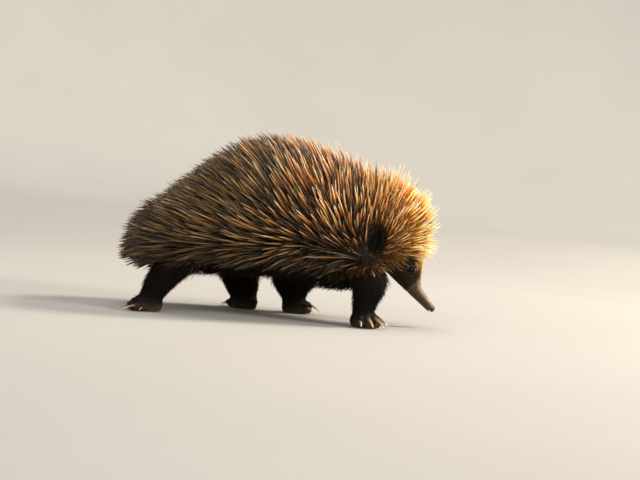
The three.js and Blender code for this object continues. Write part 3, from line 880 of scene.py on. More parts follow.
# ---------------------------------------------------------------- strands as closed meshes
def strands(name, roots, ways, lengths, radii, profile, sides, material, slot, place, bend=None, flat=1.0, **values):
    """One mesh of tapered strands. profile is (share of the length, share of the radius) from root to tip; the tip closes in a point."""
    n = len(roots)
    ts = np.array([p[0] for p in profile])
    rs = np.array([p[1] for p in profile])
    rings = len(ts) - 1
    helper = np.where(np.abs(ways[:, 2:3]) > 0.9, np.array([[1.0, 0, 0]]), np.array([[0, 0, 1.0]]))
    u = unit(np.cross(ways, helper))
    v = np.cross(ways, u)
    centre = roots[:, None] + ways[:, None] * (lengths[:, None] * ts)[:, :, None]
    if bend is not None:
        centre += bend[:, None] * (ts**2)[None, :, None]
    angles = 2 * math.pi * np.arange(sides) / sides
    ring = np.cos(angles)[None, None, :, None] * u[:, None, None, :] * flat + np.sin(angles)[None, None, :, None] * v[:, None, None, :]
    size = radii[:, None] * rs[None, :rings]
    body = centre[:, :rings, None] + ring * size[:, :, None, None]
    per = rings * sides + 1
    points = np.concatenate([body.reshape(n, rings * sides, 3), centre[:, -1:]], axis=1)
    # one strand's loops
    loops, starts, uvs = [], [], []

    def corner(j, k, wrap=False):
        loops.append(j * sides + k % sides)
        uvs.append((k / sides, ts[j]))

    for j in range(rings - 1):
        for k in range(sides):
            starts.append(len(loops))
            corner(j, k)
            corner(j, k + 1)
            corner(j + 1, k + 1)
            corner(j + 1, k)
    for k in range(sides):
        starts.append(len(loops))
        corner(rings - 1, k)
        corner(rings - 1, k + 1)
        loops.append(rings * sides)
        uvs.append(((k + 0.5) / sides, 1.0))
    starts.append(len(loops))
    for k in range(sides - 1, -1, -1):
        loops.append(k)
        uvs.append((0.5 + 0.5 * math.cos(angles[k]), 0.03 + 0.03 * math.sin(angles[k])))
    loops, starts, uvs = np.array(loops), np.array(starts), np.array(uvs)
    all_loops = (loops[None] + per * np.arange(n)[:, None]).ravel()
    all_starts = (starts[None] + len(loops) * np.arange(n)[:, None]).ravel()
    mesh = bpy.data.meshes.new(name)
    mesh.vertices.add(n * per)
    points = points.reshape(-1, 3)
    points[:, 0] += SHIFT_X
    mesh.vertices.foreach_set("co", (points * MM).astype(np.float32).ravel())
    mesh.loops.add(len(all_loops))
    mesh.loops.foreach_set("vertex_index", all_loops.astype(np.int32))
    mesh.polygons.add(len(all_starts))
    mesh.polygons.foreach_set("loop_start", all_starts.astype(np.int32))
    mesh.polygons.foreach_set("use_smooth", np.ones(len(all_starts), bool))
    # each strand is a small patch at its root's place on the skin's own chart
    a, b = place
    a = 0.004 + 0.988 * (a - a.min()) / max(np.ptp(a), 1e-6)
    b = 0.004 + 0.988 * (b - b.min()) / max(np.ptp(b), 1e-6)
    corner_uv = np.stack([a, b], 1)[:, None] + (uvs[None] - 0.5) * 0.003
    layer = mesh.uv_layers.new(name="OFBake")
    layer.data.foreach_set("uv", corner_uv.astype(np.float32).ravel())
    t = np.concatenate([np.repeat(ts[:rings], sides), [1.0]])
    mesh.attributes.new("t", "FLOAT", "POINT").data.foreach_set("value", np.tile(t, n).astype(np.float32))
    for key, value in values.items():
        mesh.attributes.new(key, "FLOAT", "POINT").data.foreach_set("value", np.repeat(value, per).astype(np.float32))
    mesh.update(calc_edges=True)
    mesh.materials.append(material)
    piece = bpy.data.objects.new(name, mesh)
    bpy.context.scene.collection.objects.link(piece)
    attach(piece, "root")
    return piece


def body_chart(p):
    """The trunk's skin unrolled: length along the back, wrapped over both ends, and the angle round it."""
    x = np.clip(p[:, 0], -110, 120)
    off = p[:, 0] - x
    radial = np.hypot(p[:, 1], p[:, 2] - 100)
    return x + np.sign(off) * 70 * np.arctan2(np.abs(off), radial), np.arctan2(p[:, 1], p[:, 2] - 100)


def face_chart(p):
    s, n = skull_coordinates(p)
    return s, np.arctan2(p[:, 1], n - np.interp(s, FACE[:, 0], FACE[:, 1]))


def leg_chart(p):
    a, b = np.zeros(len(p)), np.zeros(len(p))
    for i, (side, rows, foot) in enumerate(LEGS.values()):
        middle = np.mean([r[1] for r in rows])
        mine = (p[:, 1] * side > 0) & (np.abs(p[:, 0] - middle) < 60)
        rows = np.array(rows[::-1], float)
        cx, cy = np.interp(p[:, 2], rows[:, 0], rows[:, 1]), np.interp(p[:, 2], rows[:, 0], rows[:, 2]) * side
        turn = np.arctan2(p[:, 1] - cy, p[:, 0] - cx) / (2 * math.pi) + 0.5
        a = np.where(mine, i + 0.96 * turn, a)
        b = np.where(mine, p[:, 2], b)
    return a, b


# ---------------------------------------------------------------- the lie of the coat
WHORL = (117.5, 77.0)


def coat_flow(p, n):
    """The direction that the coat sweeps in, along the body's side: out from below the ear, back over the trunk, forward over the face."""
    near = 9.0 * np.exp(-(((p[:, 0] - WHORL[0]) / 34.0) ** 2))
    phi = np.arctan2(p[:, 2] - WHORL[1] - near, p[:, 0] - WHORL[0])
    behind = step(112 - p[:, 0], 0, 14)
    flank = np.clip(np.abs(n[:, 1]) * 1.2 - 0.2, 0, 1) * step(p[:, 2], 66, 92) * behind
    phi = phi - math.radians(11) * flank
    phi = np.where(phi < -math.pi / 2, phi + 2 * math.pi, phi)
    phi = phi + math.radians(30) * (1 - step(p[:, 2], 62, 100)) * behind
    phi = phi - math.radians(44) * (1 - step(p[:, 2], 92, 112)) * step(p[:, 0], 158, 176)
    return np.stack([np.cos(phi), np.zeros(len(p)), np.sin(phi)], 1)


def wave(p, k, seed):
    """A smooth random number between about -1 and 1 over space."""
    rng = np.random.default_rng(seed)
    total = np.zeros(len(p))
    for _ in range(5):
        way = unit(rng.normal(size=(1, 3)))[0]
        total += np.sin(p @ way * 2 * math.pi / (k * rng.uniform(0.7, 1.4)) + rng.uniform(0, 6.28))
    return total / 2.6


def forehead(p):
    """1 where the spines of the brow point straight ahead, between those that rise and those that hang."""
    return step(p[:, 0], 160, 176) * np.exp(-(((p[:, 2] - 103) / 12.0) ** 2)) * np.exp(-((p[:, 1] / 34.0) ** 4))


def lie(p, n, lift, jitter, clump, seed, raised=1.0):
    """Directions along the coat's flow, raised by lift degrees from the skin, with a random and a shared turn in degrees."""
    rng = np.random.default_rng(seed)
    flow = coat_flow(p, n)
    tangent = flow - (flow * n).sum(1, keepdims=True) * n
    lift = np.radians(lift + (66 - lift) * forehead(p) * raised)
    way = tangent * np.cos(lift)[:, None] + n * np.sin(lift)[:, None]
    way = unit(way)
    shake = np.stack([wave(p, 34.0, seed + 1), wave(p, 30.0, seed + 2), wave(p, 38.0, seed + 3)], 1) * math.tan(math.radians(clump))
    loose = rng.normal(size=p.shape) * (np.tan(np.radians(jitter)) * np.ones(len(p)) / 1.3)[:, None]
    return unit(way + shake + loose)


def quill_line(x):
    """Height where the spines stop and the belly's and the face's fur begins."""
    return interp(x, [(-172, 60), (-150, 62), (-100, 65), (-40, 67), (20, 66), (70, 66), (95, 69), (118, 73), (135, 77), (150, 84), (162, 89), (174, 90), (188, 92)])


def in_ear(p, grow=1.0):
    b, a = ear_coordinates(p)
    a = np.where(a < 0, a / 1.18, a)
    return (np.hypot(b / (10.6 * grow), a / (20.5 * grow)) < 1) & (np.abs(p[:, 1]) > 26)


def quill_mask(p, n):
    return (p[:, 2] > quill_line(p[:, 0]) + 3.0 * wave(p, 22.0, 5)) & ~in_ear(p) & (n[:, 2] > -0.75)


tree = coat_tree()
quill_shader = quill_material()


def zone_of(p, rng):
    """0 on the rump and loin, a half on the shoulder, 1 on the head, with ragged edges. Towards 1 the spines take the
    head's pale colours, which hold painted glow.
    """
    z = interp(p[:, 0] + 0.25 * (p[:, 2] - 120), [(-40, 0.0), (28, 0.24), (62, 0.5), (100, 0.55), (132, 0.60), (148, 0.82), (160, 1.0)])
    z = z * (0.35 + 0.65 * step(p[:, 2], 72, 118 - 0.1 * p[:, 0]))
    return np.clip(z + 0.10 * rng.normal(size=len(p)), 0, 1)


def build_quills():
    def gap(p):
        base = interp(p[:, 0], [(-180, 4.2), (-120, 4.4), (20, 4.4), (70, 4.7), (105, 5.0), (145, 4.9), (162, 4.3), (180, 3.9)])
        temple = step(p[:, 0], 118, 134) * (1 - step(p[:, 2], 100, 116))
        return base * np.where(p[:, 2] < 92, 0.88, 1.0) * (1 - 0.26 * temple) * (1 - 0.28 * forehead(p))

    p, n = scatter(quill_mask, gap, 11)
    rng = np.random.default_rng(12)
    count = len(p)
    x, z = p[:, 0], p[:, 2]
    lift = interp(x, [(-180, 36), (-120, 32), (40, 32), (100, 34), (150, 37), (180, 38)])
    lift = lift - 12 * (1 - step(z, 66, 96)) * step(130 - x, 0, 20) + rng.normal(size=count) * 3.5
    ways = lie(p, n, lift, interp(x, [(40, 3.0), (90, 4.2), (150, 5.6)]), 5.5, 20)
    together = np.stack([wave(p, 17.0, 24), wave(p, 16.0, 25), wave(p, 18.0, 26)], 1) * 0.115
    ways = unit(ways + together * step(x, 40, 110)[:, None])
    whorl = np.hypot(x - WHORL[0], z - WHORL[1] - 9.0) + np.where(np.abs(p[:, 1]) < 24, 60, 0)
    reach = reach_of(tree, p, ways, 90.0)
    low_brow = step(x, 152, 168) * (1 - step(z, 100, 114))
    temple = step(x, 118, 134) * (1 - step(z, 100, 116))
    reach = np.maximum(reach, 15.0 * temple)
    reach = np.where(low_brow > 0.3, np.maximum(reach, 21.0), reach)
    most = interp(x, [(-200, 56), (20, 61), (60, 57), (100, 53), (125, 49), (145, 45), (172, 39), (190, 34)])
    most = most * np.where(x > 96, 0.42 + 0.58 * step(z, 76, 108), 1.0)
    most = np.maximum(most, 20.0 * low_brow)
    most = most * (0.84 + 0.16 * step(z, 60, 92))
    most = most * (0.45 + 0.55 * step(whorl, 5, 26))
    most = np.where((x > WHORL[0] - 6) & (x < 160) & (z < 92), np.minimum(most, 13.5 + 8.0 * step(z, 80, 91)), most)
    # Fewer bright spines low on the shoulder: painted shade.
    shoulder_shade = step(x, 0, 30) * (1 - step(x, 96, 112)) * (1 - step(z, 84, 112))
    bright = rng.random(count) < interp(x, [(-180, 0.33), (20, 0.36), (80, 0.48), (120, 0.62), (150, 0.80), (165, 0.92)]) * (1 - 0.75 * shoulder_shade)
    draw = rng.random(count)
    even = 1.09 - 0.33 * draw**1.6
    spiky = 0.61 + 0.66 * draw**3.0
    part = interp(x, [(30, 0.15), (90, 0.85), (130, 1.0)])
    lengths = np.minimum(reach, most * rng.uniform(0.92, 1.1, count)) * (even * (1 - part) + spiky * part) * np.where(bright, 1.0, 0.86)
    lengths = np.maximum(lengths, 7.0)
    thick = interp(x, [(-200, 1.36), (30, 1.42), (90, 1.28), (125, 1.14), (160, 1.12), (185, 0.98)])
    thick = thick * np.where(z < 90, 0.86, 1.0) * rng.uniform(0.84, 1.14, count) * np.where(bright, 1.0, 0.60)
    thick = np.minimum(thick, lengths * 0.042) * (1 - 0.30 * step(x, 124, 142) * (1 - step(z, 98, 114)))
    bend = (coat_flow(p, n) * 1.0 - n * 0.8) * (lengths * rng.normal(0.014, 0.014, count))[:, None]
    kept = whorl > np.where(z < WHORL[1] + 9.0, 15.0, 6.5)
    for share in (0.35, 0.7, 1.0):
        kept &= ~in_ear(p + ways * (lengths * share)[:, None], 0.8)
    profile = [(-0.03, 0.6), (0.10, 0.94), (0.30, 1.0), (0.58, 0.86), (0.80, 0.52), (0.93, 0.22), (1.0, 0.0)]
    rnd, zone = rng.random(count), zone_of(p, rng)
    rnd2 = np.where(bright, rng.uniform(0.58, 1.0, count), rng.uniform(0.0, 0.46, count))
    # high carries the painted shade low on the sides into the spines' colour.
    high = height_of(p)
    cuts = np.quantile(x, np.linspace(0, 1, 6))
    cuts[0] -= 1
    cuts[-1] += 1
    for i, name in enumerate(("spines_rump", "spines_loin", "spines_back", "spines_shoulder", "spines_head")):
        own = (x > cuts[i]) & (x <= cuts[i + 1]) & kept
        a, b = body_chart(p[own])
        strands(name, p[own], ways[own], lengths[own], thick[own], profile, 6, quill_shader, "spines", (a, b), bend=bend[own], rnd=rnd[own], rnd2=rnd2[own], zone=zone[own], high=high[own])


def shadow_of(p):
    """1 where painted shade darkens the coat most: low on the shoulder and round the parting point behind the ear."""
    x, z = p[:, 0], p[:, 2]
    low = step(x, -10, 24) * (1 - step(x, 98, 112)) * (1 - step(z, 84, 116))
    return np.maximum(low, np.exp(-(((x - 104) / 26.0) ** 2) - ((z - 90) / 24.0) ** 2))


def height_of(p):
    """0 low on the sides, where the coat is darker, partly in its own colour and partly as painted shade, 1 on the
    upper half and the face's front; lower too round the parting point behind the ear, as painted shade.
    """
    low = interp(p[:, 0], [(-180, 62), (10, 66), (50, 82), (90, 90), (106, 82), (120, 76), (150, 72)])
    top = interp(p[:, 0], [(-180, 92), (-60, 108), (30, 126), (80, 142), (108, 136), (130, 112), (165, 98)])
    near = np.exp(-(((p[:, 0] - 104) / 30.0) ** 2) - ((p[:, 2] - 88) / 26.0) ** 2)
    return step((p[:, 2] - low) / (top - low), 0.0, 1.0) * (1 - 0.6 * near)


def build_underfur(shader, pale):
    """The dark hair between the spines, and the long thin hairs among them."""
    p, n = scatter(quill_mask, lambda q: interp(q[:, 0], [(-180, 2.55), (60, 2.5), (100, 2.0), (125, 1.55), (150, 1.25), (180, 1.1)]), 31, 4.2)
    rng = np.random.default_rng(32)
    count = len(p)
    ways = lie(p, n, 26 + rng.normal(size=count) * 7, 9.0, 8.0, 40, 0.35)
    lengths = interp(p[:, 0], [(-180, 25), (50, 24), (90, 16), (125, 11), (150, 9), (180, 7)]) * rng.uniform(0.65, 1.25, count)
    lengths = np.where((p[:, 0] > 96) & (p[:, 2] < 96), lengths * 0.6, lengths)
    radii = interp(p[:, 0], [(-180, 0.48), (60, 0.46), (120, 0.32), (180, 0.25)]) * rng.uniform(0.8, 1.2, count)
    profile = [(-0.04, 0.8), (0.4, 1.0), (0.78, 0.6), (1.0, 0.0)]
    # zone: the head's gold hair, lighter partly in its own colour and partly as painted glow.
    zone = step(p[:, 0] + 0.2 * (p[:, 2] - 120), 98, 170)
    # rnd and high darken the underfur low on the sides and round the parting behind the ear: painted shade; through
    # lighten, high also makes it lighter up high as painted light.
    rnd, high = rng.random(count) * (1 - 0.85 * shadow_of(p)), height_of(p) * step(p[:, 2], 84, 176) * (1 - shadow_of(p))
    cuts = np.quantile(p[:, 0], [0, 0.34, 0.67, 1.0])
    cuts[0] -= 1
    for i, name in enumerate(("underfur_rear", "underfur_middle", "underfur_front")):
        own = (p[:, 0] > cuts[i]) & (p[:, 0] <= cuts[i + 1])
        strands(name, p[own], ways[own], lengths[own], radii[own], profile, 3, shader, "fur", body_chart(p[own]), flat=1.5, rnd=rnd[own], zone=zone[own], high=high[own])

    p, n = scatter(lambda q, m: quill_mask(q, m) & (q[:, 0] < 150), lambda q: interp(q[:, 0], [(-180, 5.4), (60, 5.0), (150, 5.2)]), 35, 4.5)
    count = len(p)
    ways = lie(p, n, 36 + rng.normal(size=count) * 8, 8.0, 6.0, 20)
    reach = reach_of(tree, p, ways, 90.0)
    most = interp(p[:, 0], [(-180, 50), (30, 54), (100, 42), (150, 30)]) * (0.7 + 0.3 * height_of(p))
    lengths = np.minimum(reach, most) * rng.uniform(0.62, 0.98, count)
    bend = (coat_flow(p, n) - n) * (lengths * rng.normal(0.05, 0.05, count))[:, None]
    profile = [(-0.02, 0.8), (0.5, 1.0), (0.8, 0.7), (1.0, 0.0)]
    # rnd and high darken the long hair at the same places: painted shade.
    strands("long_hair", p, ways, lengths, 0.24 * rng.uniform(0.8, 1.3, count), profile, 3, pale, "fur", body_chart(p), bend=bend, flat=1.2, rnd=rng.random(count) * (1 - 0.6 * shadow_of(p)), zone=step(p[:, 0], 20, 120), high=height_of(p))


def trunk_fur_mask(p, n):
    s, _ = skull_coordinates(p)
    low = p[:, 2] <= quill_line(p[:, 0]) + 7.0
    return low & (leg_part(p) > trunk_field(p) - 3.0) & ~((p[:, 0] > 140) & (s > 44))


def build_belly(shader):
    p, n = scatter(trunk_fur_mask, lambda q: interp(q[:, 2], [(50, 2.3), (90, 2.1)]), 51, 4.5)
    rng = np.random.default_rng(52)
    count = len(p)
    x, z = p[:, 0], p[:, 2]
    back_down = np.stack([-np.ones(count), np.zeros(count), -0.45 - 0.5 * step(x, 40, 95)], 1)
    out = back_down - (back_down * n).sum(1, keepdims=True) * n
    lift = np.radians(interp(x, [(-170, 26), (40, 24), (90, 36), (130, 30)]) + rng.normal(size=count) * 6)
    ways = unit(unit(out) * np.cos(lift)[:, None] + n * np.sin(lift)[:, None] + rng.normal(size=(count, 3)) * 0.12 + np.stack([wave(p, 16.0, 53), wave(p, 18.0, 54), np.zeros(count)], 1) * 0.16)
    lengths = interp(x, [(-170, 15), (-60, 17), (50, 17), (85, 22), (120, 15), (150, 9)]) * rng.uniform(0.65, 1.15, count)
    low_limit = np.where(x > 60, 40.0, 44.0)
    drop = np.maximum(-ways[:, 2] * lengths, 1e-3)
    lengths = lengths * np.clip(np.maximum(z - low_limit, 3.0) / drop, 0.3, 1.0)
    radii = 0.4 * rng.uniform(0.75, 1.25, count)
    profile = [(-0.04, 0.8), (0.4, 1.0), (0.78, 0.6), (1.0, 0.0)]
    bend = np.stack([np.zeros(count), np.zeros(count), -0.12 * lengths], 1)
    strands("belly_fur", p, ways, lengths, radii, profile, 3, shader, "fur", body_chart(p), bend=bend, flat=1.7, rnd=rng.random(count), zone=np.zeros(count))


def leg_axis_out(p):
    """From the nearest leg's middle line outwards."""
    out = np.zeros_like(p)
    for side, rows, foot in LEGS.values():
        middle = np.mean([r[1] for r in rows])
        mine = (p[:, 1] * side > 0) & (np.abs(p[:, 0] - middle) < 64)
        table = np.array(rows[::-1], float)
        cx, cy = np.interp(p[:, 2], table[:, 0], table[:, 1]), np.interp(p[:, 2], table[:, 0], table[:, 2]) * side
        out[mine] = np.stack([p[:, 0] - cx, p[:, 1] - cy, np.zeros(len(p))], 1)[mine]
    return unit(out)


def build_leg_fur(shader):
    def mask(p, n):
        return (p[:, 2] > 11) & (p[:, 2] < 84) & (leg_part(p) < trunk_field(p) + 6.0) & (leg_part(p) < 6.0)

    p, n = scatter(mask, lambda q: interp(q[:, 2], [(10, 0.9), (25, 1.1), (50, 1.4), (80, 1.8)]), 61, 4.0)
    rng = np.random.default_rng(62)
    count = len(p)
    z = p[:, 2]
    down = np.stack([-0.35 * np.ones(count), np.zeros(count), -np.ones(count)], 1)
    out = unit(down - (down * n).sum(1, keepdims=True) * n)
    lift = np.radians(interp(z, [(10, 16), (40, 24), (80, 26)]) + rng.normal(size=count) * 7)
    ways = unit(out * np.cos(lift)[:, None] + n * np.sin(lift)[:, None] + rng.normal(size=(count, 3)) * 0.14)
    lengths = interp(z, [(10, 3.6), (20, 5.6), (40, 9.5), (80, 14.0)]) * rng.uniform(0.6, 1.25, count)
    radii = interp(z, [(10, 0.16), (30, 0.22), (80, 0.30)]) * rng.uniform(0.8, 1.2, count)
    profile = [(-0.06, 0.9), (0.55, 0.85), (1.0, 0.0)]
    bend = -n * (lengths * 0.10)[:, None]
    for name, own in (("leg_fur_fore", p[:, 0] > -5), ("leg_fur_hind", p[:, 0] <= -5)):
        strands(name, p[own], ways[own], lengths[own], radii[own], profile, 3, shader, "fur", leg_chart(p[own]), bend=bend[own], flat=1.6, rnd=rng.random(own.sum()), zone=np.zeros(own.sum()))


def build_foot_fur(shader):
    def mask(p, n):
        return near_feet(p, 200) & (p[:, 2] > 4.0) & (p[:, 2] <= 13.0) & (n[:, 2] > 0.0)

    p, n = scatter(mask, lambda q: np.full(len(q), 1.05), 71, 4.5)
    rng = np.random.default_rng(72)
    count = len(p)
    out = leg_axis_out(p)
    out = unit(out - (out * n).sum(1, keepdims=True) * n)
    lift = np.radians(14 + rng.normal(size=count) * 6)
    ways = unit(out * np.cos(lift)[:, None] + n * np.sin(lift)[:, None] + rng.normal(size=(count, 3)) * 0.15)
    lengths = 2.8 * rng.uniform(0.6, 1.2, count)
    profile = [(-0.06, 0.8), (0.4, 1.0), (0.78, 0.6), (1.0, 0.0)]
    strands("foot_fur", p, ways, lengths, 0.16 * rng.uniform(0.8, 1.2, count), profile, 3, shader, "fur", leg_chart(p), flat=1.6, rnd=rng.random(count), zone=np.zeros(count))


def build_face_fur(shader):
    def mask(p, n):
        s, w = skull_coordinates(p)
        m = np.stack([p[:, 0], np.abs(p[:, 1]), p[:, 2]], 1)
        clear = np.linalg.norm(m - EYE_AT, axis=1) > 5.6
        on = (p[:, 0] > 128) & (p[:, 2] < quill_line(p[:, 0]) + 5) & (s > 28) & (s < 89 + 3.0 * wave(p, 9.0, 81) + 2.5 * wave(p, 3.0, 84))
        return on & clear & (leg_part(p) > 6)

    p, n = scatter(mask, lambda q: interp(skull_coordinates(q)[0], [(30, 0.95), (60, 0.68), (88, 0.5)]), 82, 4.0)
    rng = np.random.default_rng(83)
    count = len(p)
    s, w = skull_coordinates(p)
    up_back = np.stack([-0.35 * np.ones(count), np.zeros(count), np.ones(count)], 1)
    side = np.stack([np.zeros(count), np.sign(p[:, 1]) * 0.4, np.zeros(count)], 1)
    out = up_back + side
    out = unit(out - (out * n).sum(1, keepdims=True) * n)
    frontal = step(n @ np.array((-SKULL_Z, 0, SKULL_X)), 0.42, 0.90)
    lift = np.radians(20 + 34 * frontal + rng.normal(size=count) * 7)
    ways = unit(out * np.cos(lift)[:, None] + n * np.sin(lift)[:, None] + rng.normal(size=(count, 3)) * 0.14)
    lengths = interp(s, [(30, 8.0), (50, 6.2), (70, 4.4), (84, 2.6), (92, 1.3)]) * rng.uniform(0.6, 1.3, count) * (1 + 0.9 * frontal * (1 - step(s, 74, 90)))
    lengths = np.where(np.linalg.norm(np.stack([p[:, 0], np.abs(p[:, 1]), p[:, 2]], 1) - EYE_AT, axis=1) < 9.5, np.minimum(lengths, 2.6), lengths)
    radii = interp(s, [(30, 0.17), (60, 0.13), (88, 0.085)]) * rng.uniform(0.8, 1.25, count)
    profile = [(-0.06, 0.9), (0.55, 0.85), (1.0, 0.0)]
    # zone marks the face's front edge, whose gold hair is painted rim light.
    zone = np.clip(step(frontal, 0.0, 0.5) * step(s, 26, 34) + 0.12 * rng.normal(size=count), 0, 1)
    strands("face_fur", p, ways, lengths, radii, profile, 3, shader, "fur", face_chart(p), bend=-n * (lengths * 0.15)[:, None], flat=1.5, rnd=rng.random(count), zone=zone)


def build_ruff(shader):
    """Thin golden hair that hangs from the edge of the spines over the shoulder, the throat and the cheek."""

    def mask(p, n):
        over = p[:, 2] - quill_line(p[:, 0])
        return (p[:, 0] > 70) & (p[:, 0] < 158) & (over > -5) & (over < 8) & (n[:, 2] > -0.9) & (np.abs(p[:, 1]) > 10)

    p, n = scatter(mask, lambda q: np.full(len(q), 1.5), 95, 4.5)
    rng = np.random.default_rng(96)
    count = len(p)
    flow = coat_flow(p, n) + np.array((0.0, 0.0, -0.55))
    out = unit(flow - (flow * n).sum(1, keepdims=True) * n)
    lift = np.radians(26 + rng.normal(size=count) * 8)
    ways = unit(out * np.cos(lift)[:, None] + n * np.sin(lift)[:, None] + rng.normal(size=(count, 3)) * 0.13)
    lengths = interp(p[:, 0], [(70, 11), (110, 7.0), (158, 7)]) * rng.uniform(0.5, 1.25, count)
    profile = [(-0.04, 0.9), (0.35, 1.0), (0.75, 0.6), (1.0, 0.0)]
    strands("ruff", p, ways, lengths, 0.26 * rng.uniform(0.8, 1.3, count), profile, 3, shader, "fur", body_chart(p), bend=np.array((0, 0, -0.10)) * lengths[:, None], flat=1.3, rnd=rng.random(count), zone=np.zeros(count))


def build_ear_fur(shader):
    """Short hair round the ears' openings and over their lower ends."""

    def mask(p, n):
        b, a = ear_coordinates(p)
        open_part = np.hypot(b / 6.4, (a - 2.0) / 13.5) < 1
        return in_ear(p, 1.22) & ~open_part

    p, n = scatter(mask, lambda q: np.full(len(q), 0.85), 91, 4.0)
    rng = np.random.default_rng(92)
    count = len(p)
    b, a = ear_coordinates(p)
    c, s = math.cos(EAR_LEAN), math.sin(EAR_LEAN)
    away = unit(np.stack([b * 2.0, a + 16.0], 1))
    out = np.stack([away[:, 0] * c + away[:, 1] * s, np.zeros(count), away[:, 1] * c - away[:, 0] * s], 1)
    low = 1 - step(a, -16, -6)
    out = unit(out * (1 - low)[:, None] + np.array((-0.25, 0, -1.0)) * low[:, None])
    out = unit(out - (out * n).sum(1, keepdims=True) * n)
    lift = np.radians(30 + rng.normal(size=count) * 9)
    ways = unit(out * np.cos(lift)[:, None] + n * np.sin(lift)[:, None] + rng.normal(size=(count, 3)) * 0.2)
    lengths = 6.5 * rng.uniform(0.5, 1.3, count) * (1 + 0.3 * low)
    profile = [(-0.06, 0.9), (0.55, 0.85), (1.0, 0.0)]
    strands("ear_fur", p, ways, lengths, 0.15 * rng.uniform(0.8, 1.3, count), profile, 3, shader, "fur", body_chart(p), bend=-n * (lengths * 0.12)[:, None], flat=1.4, rnd=rng.random(count), zone=np.zeros(count), high=low)


# ---------------------------------------------------------------- claws and eyes
def sweep_claw(foot, side, index, row, along=16, around=14):
    length, half, thick, root_z = row
    centre, _, _, yaw = foot_frame(foot, side)
    inward = -side if foot["fore"] else side
    angle = toe_angle(foot, index) * inward
    heading = yaw + angle
    start = centre + (foot_radius(foot, angle) - 1.4) * np.array((math.cos(heading), math.sin(heading), 0.0))
    turned = yaw + 0.62 * angle
    out = np.array((math.cos(turned), math.sin(turned), 0.0))
    across = np.array((-math.sin(turned), math.cos(turned), 0.0))
    low = 0.9 + 0.55 * thick
    points, share = [], []
    for j in range(along + 1):
        u = j / along
        at = -6 + (length + 6) * u
        taper = (1 - u) ** 0.62 * min(1.0, math.sqrt(9 * u))
        drop = (root_z - low) * (max(0.0, at + 1.8) / (length + 1.8)) ** 1.7
        if j in (0, along):
            points.append(start + out * at + np.array((0, 0, root_z - drop)))
            share.append(u)
            continue
        for k in range(around):
            c, s = math.cos(2 * math.pi * k / around), math.sin(2 * math.pi * k / around)
            ridge = 1 + 0.10 * max(0.0, s) ** 6 - (0.18 if s < -0.3 else 0.0) * (-s)
            points.append(start + out * at + across * (half * 0.97 * taper * c) + np.array((0, 0, root_z - drop + thick * 0.97 * taper * s * ridge)))
            share.append(u)
    faces = []
    for k in range(around):
        n = (k + 1) % around
        faces.append((0, 1 + n, 1 + k))
        last = 1 + (along - 2) * around
        for j in range(along - 2):
            a, b = 1 + j * around, 1 + (j + 1) * around
            faces.append((a + k, a + n, b + n, b + k))
        faces.append((last + k, last + n, len(points) - 1))
    return np.array(points), faces, np.array(share)


def add_piece(name, points, faces, material, slot, node, smooth=True, **values):
    mesh = bpy.data.meshes.new(name)
    mesh.from_pydata([tuple(p) for p in points], [], faces)
    bm = bmesh.new()
    bm.from_mesh(mesh)
    bmesh.ops.recalc_face_normals(bm, faces=bm.faces)
    bm.to_mesh(mesh)
    bm.free()
    for key, value in values.items():
        mesh.attributes.new(key, "FLOAT", "POINT").data.foreach_set("value", np.asarray(value, np.float32))
    to_metres(mesh)
    mesh.polygons.foreach_set("use_smooth", np.ones(len(mesh.polygons), bool))
    mesh.materials.append(material)
    piece = bpy.data.objects.new(name, mesh)
    bpy.context.scene.collection.objects.link(piece)
    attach(piece, "root")
    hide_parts(node)
    return piece


def build_claws():
    shader = claw_material()
    for leg, (side, rows, foot) in LEGS.items():
        base = leg.replace("leg", "foot")
        for i, row in enumerate(FORE_CLAWS if foot["fore"] else HIND_CLAWS):
            points, faces, share = sweep_claw(foot, side, i, row)
            add_piece(f"claw_{base}_{i + 1}", points, faces, shader, "claws", f"{base}_claw_{i + 1}", t=share)


def build_eyes():
    shader = eye_material()
    for side, label in ((-1, "right"), (1, "left")):
        axis = EYE_AXIS * (1, side, 1)
        rings, around = 22, 32
        helper = unit(np.cross(axis[None], [[0, 0, 1.0]]))[0]
        other = np.cross(axis, helper)
        centre = EYE_AT * (1, side, 1)
        points, iris = [centre + axis * (EYE_RADIUS * 1.03)], [0.0]
        for j in range(1, rings):
            polar = math.pi * j / rings
            radius = EYE_RADIUS * (1 + 0.03 * math.exp(-((polar / 0.62) ** 4)))
            for k in range(around):
                turn = 2 * math.pi * k / around
                points.append(centre + radius * (axis * math.cos(polar) + math.sin(polar) * (helper * math.cos(turn) + other * math.sin(turn))))
                iris.append(min(1.0, polar / 1.1))
        points.append(centre - axis * EYE_RADIUS)
        iris.append(1.0)
        faces = []
        for k in range(around):
            n = (k + 1) % around
            faces.append((0, 1 + k, 1 + n))
            for j in range(rings - 2):
                a, b = 1 + j * around, 1 + (j + 1) * around
                faces.append((a + k, b + k, b + n, a + n))
            last = 1 + (rings - 2) * around
            faces.append((last + n, last + k, len(points) - 1))
        add_piece(f"eyeball_{label}", points, faces, shader, "eyes", f"eye_{label}", iris=iris)


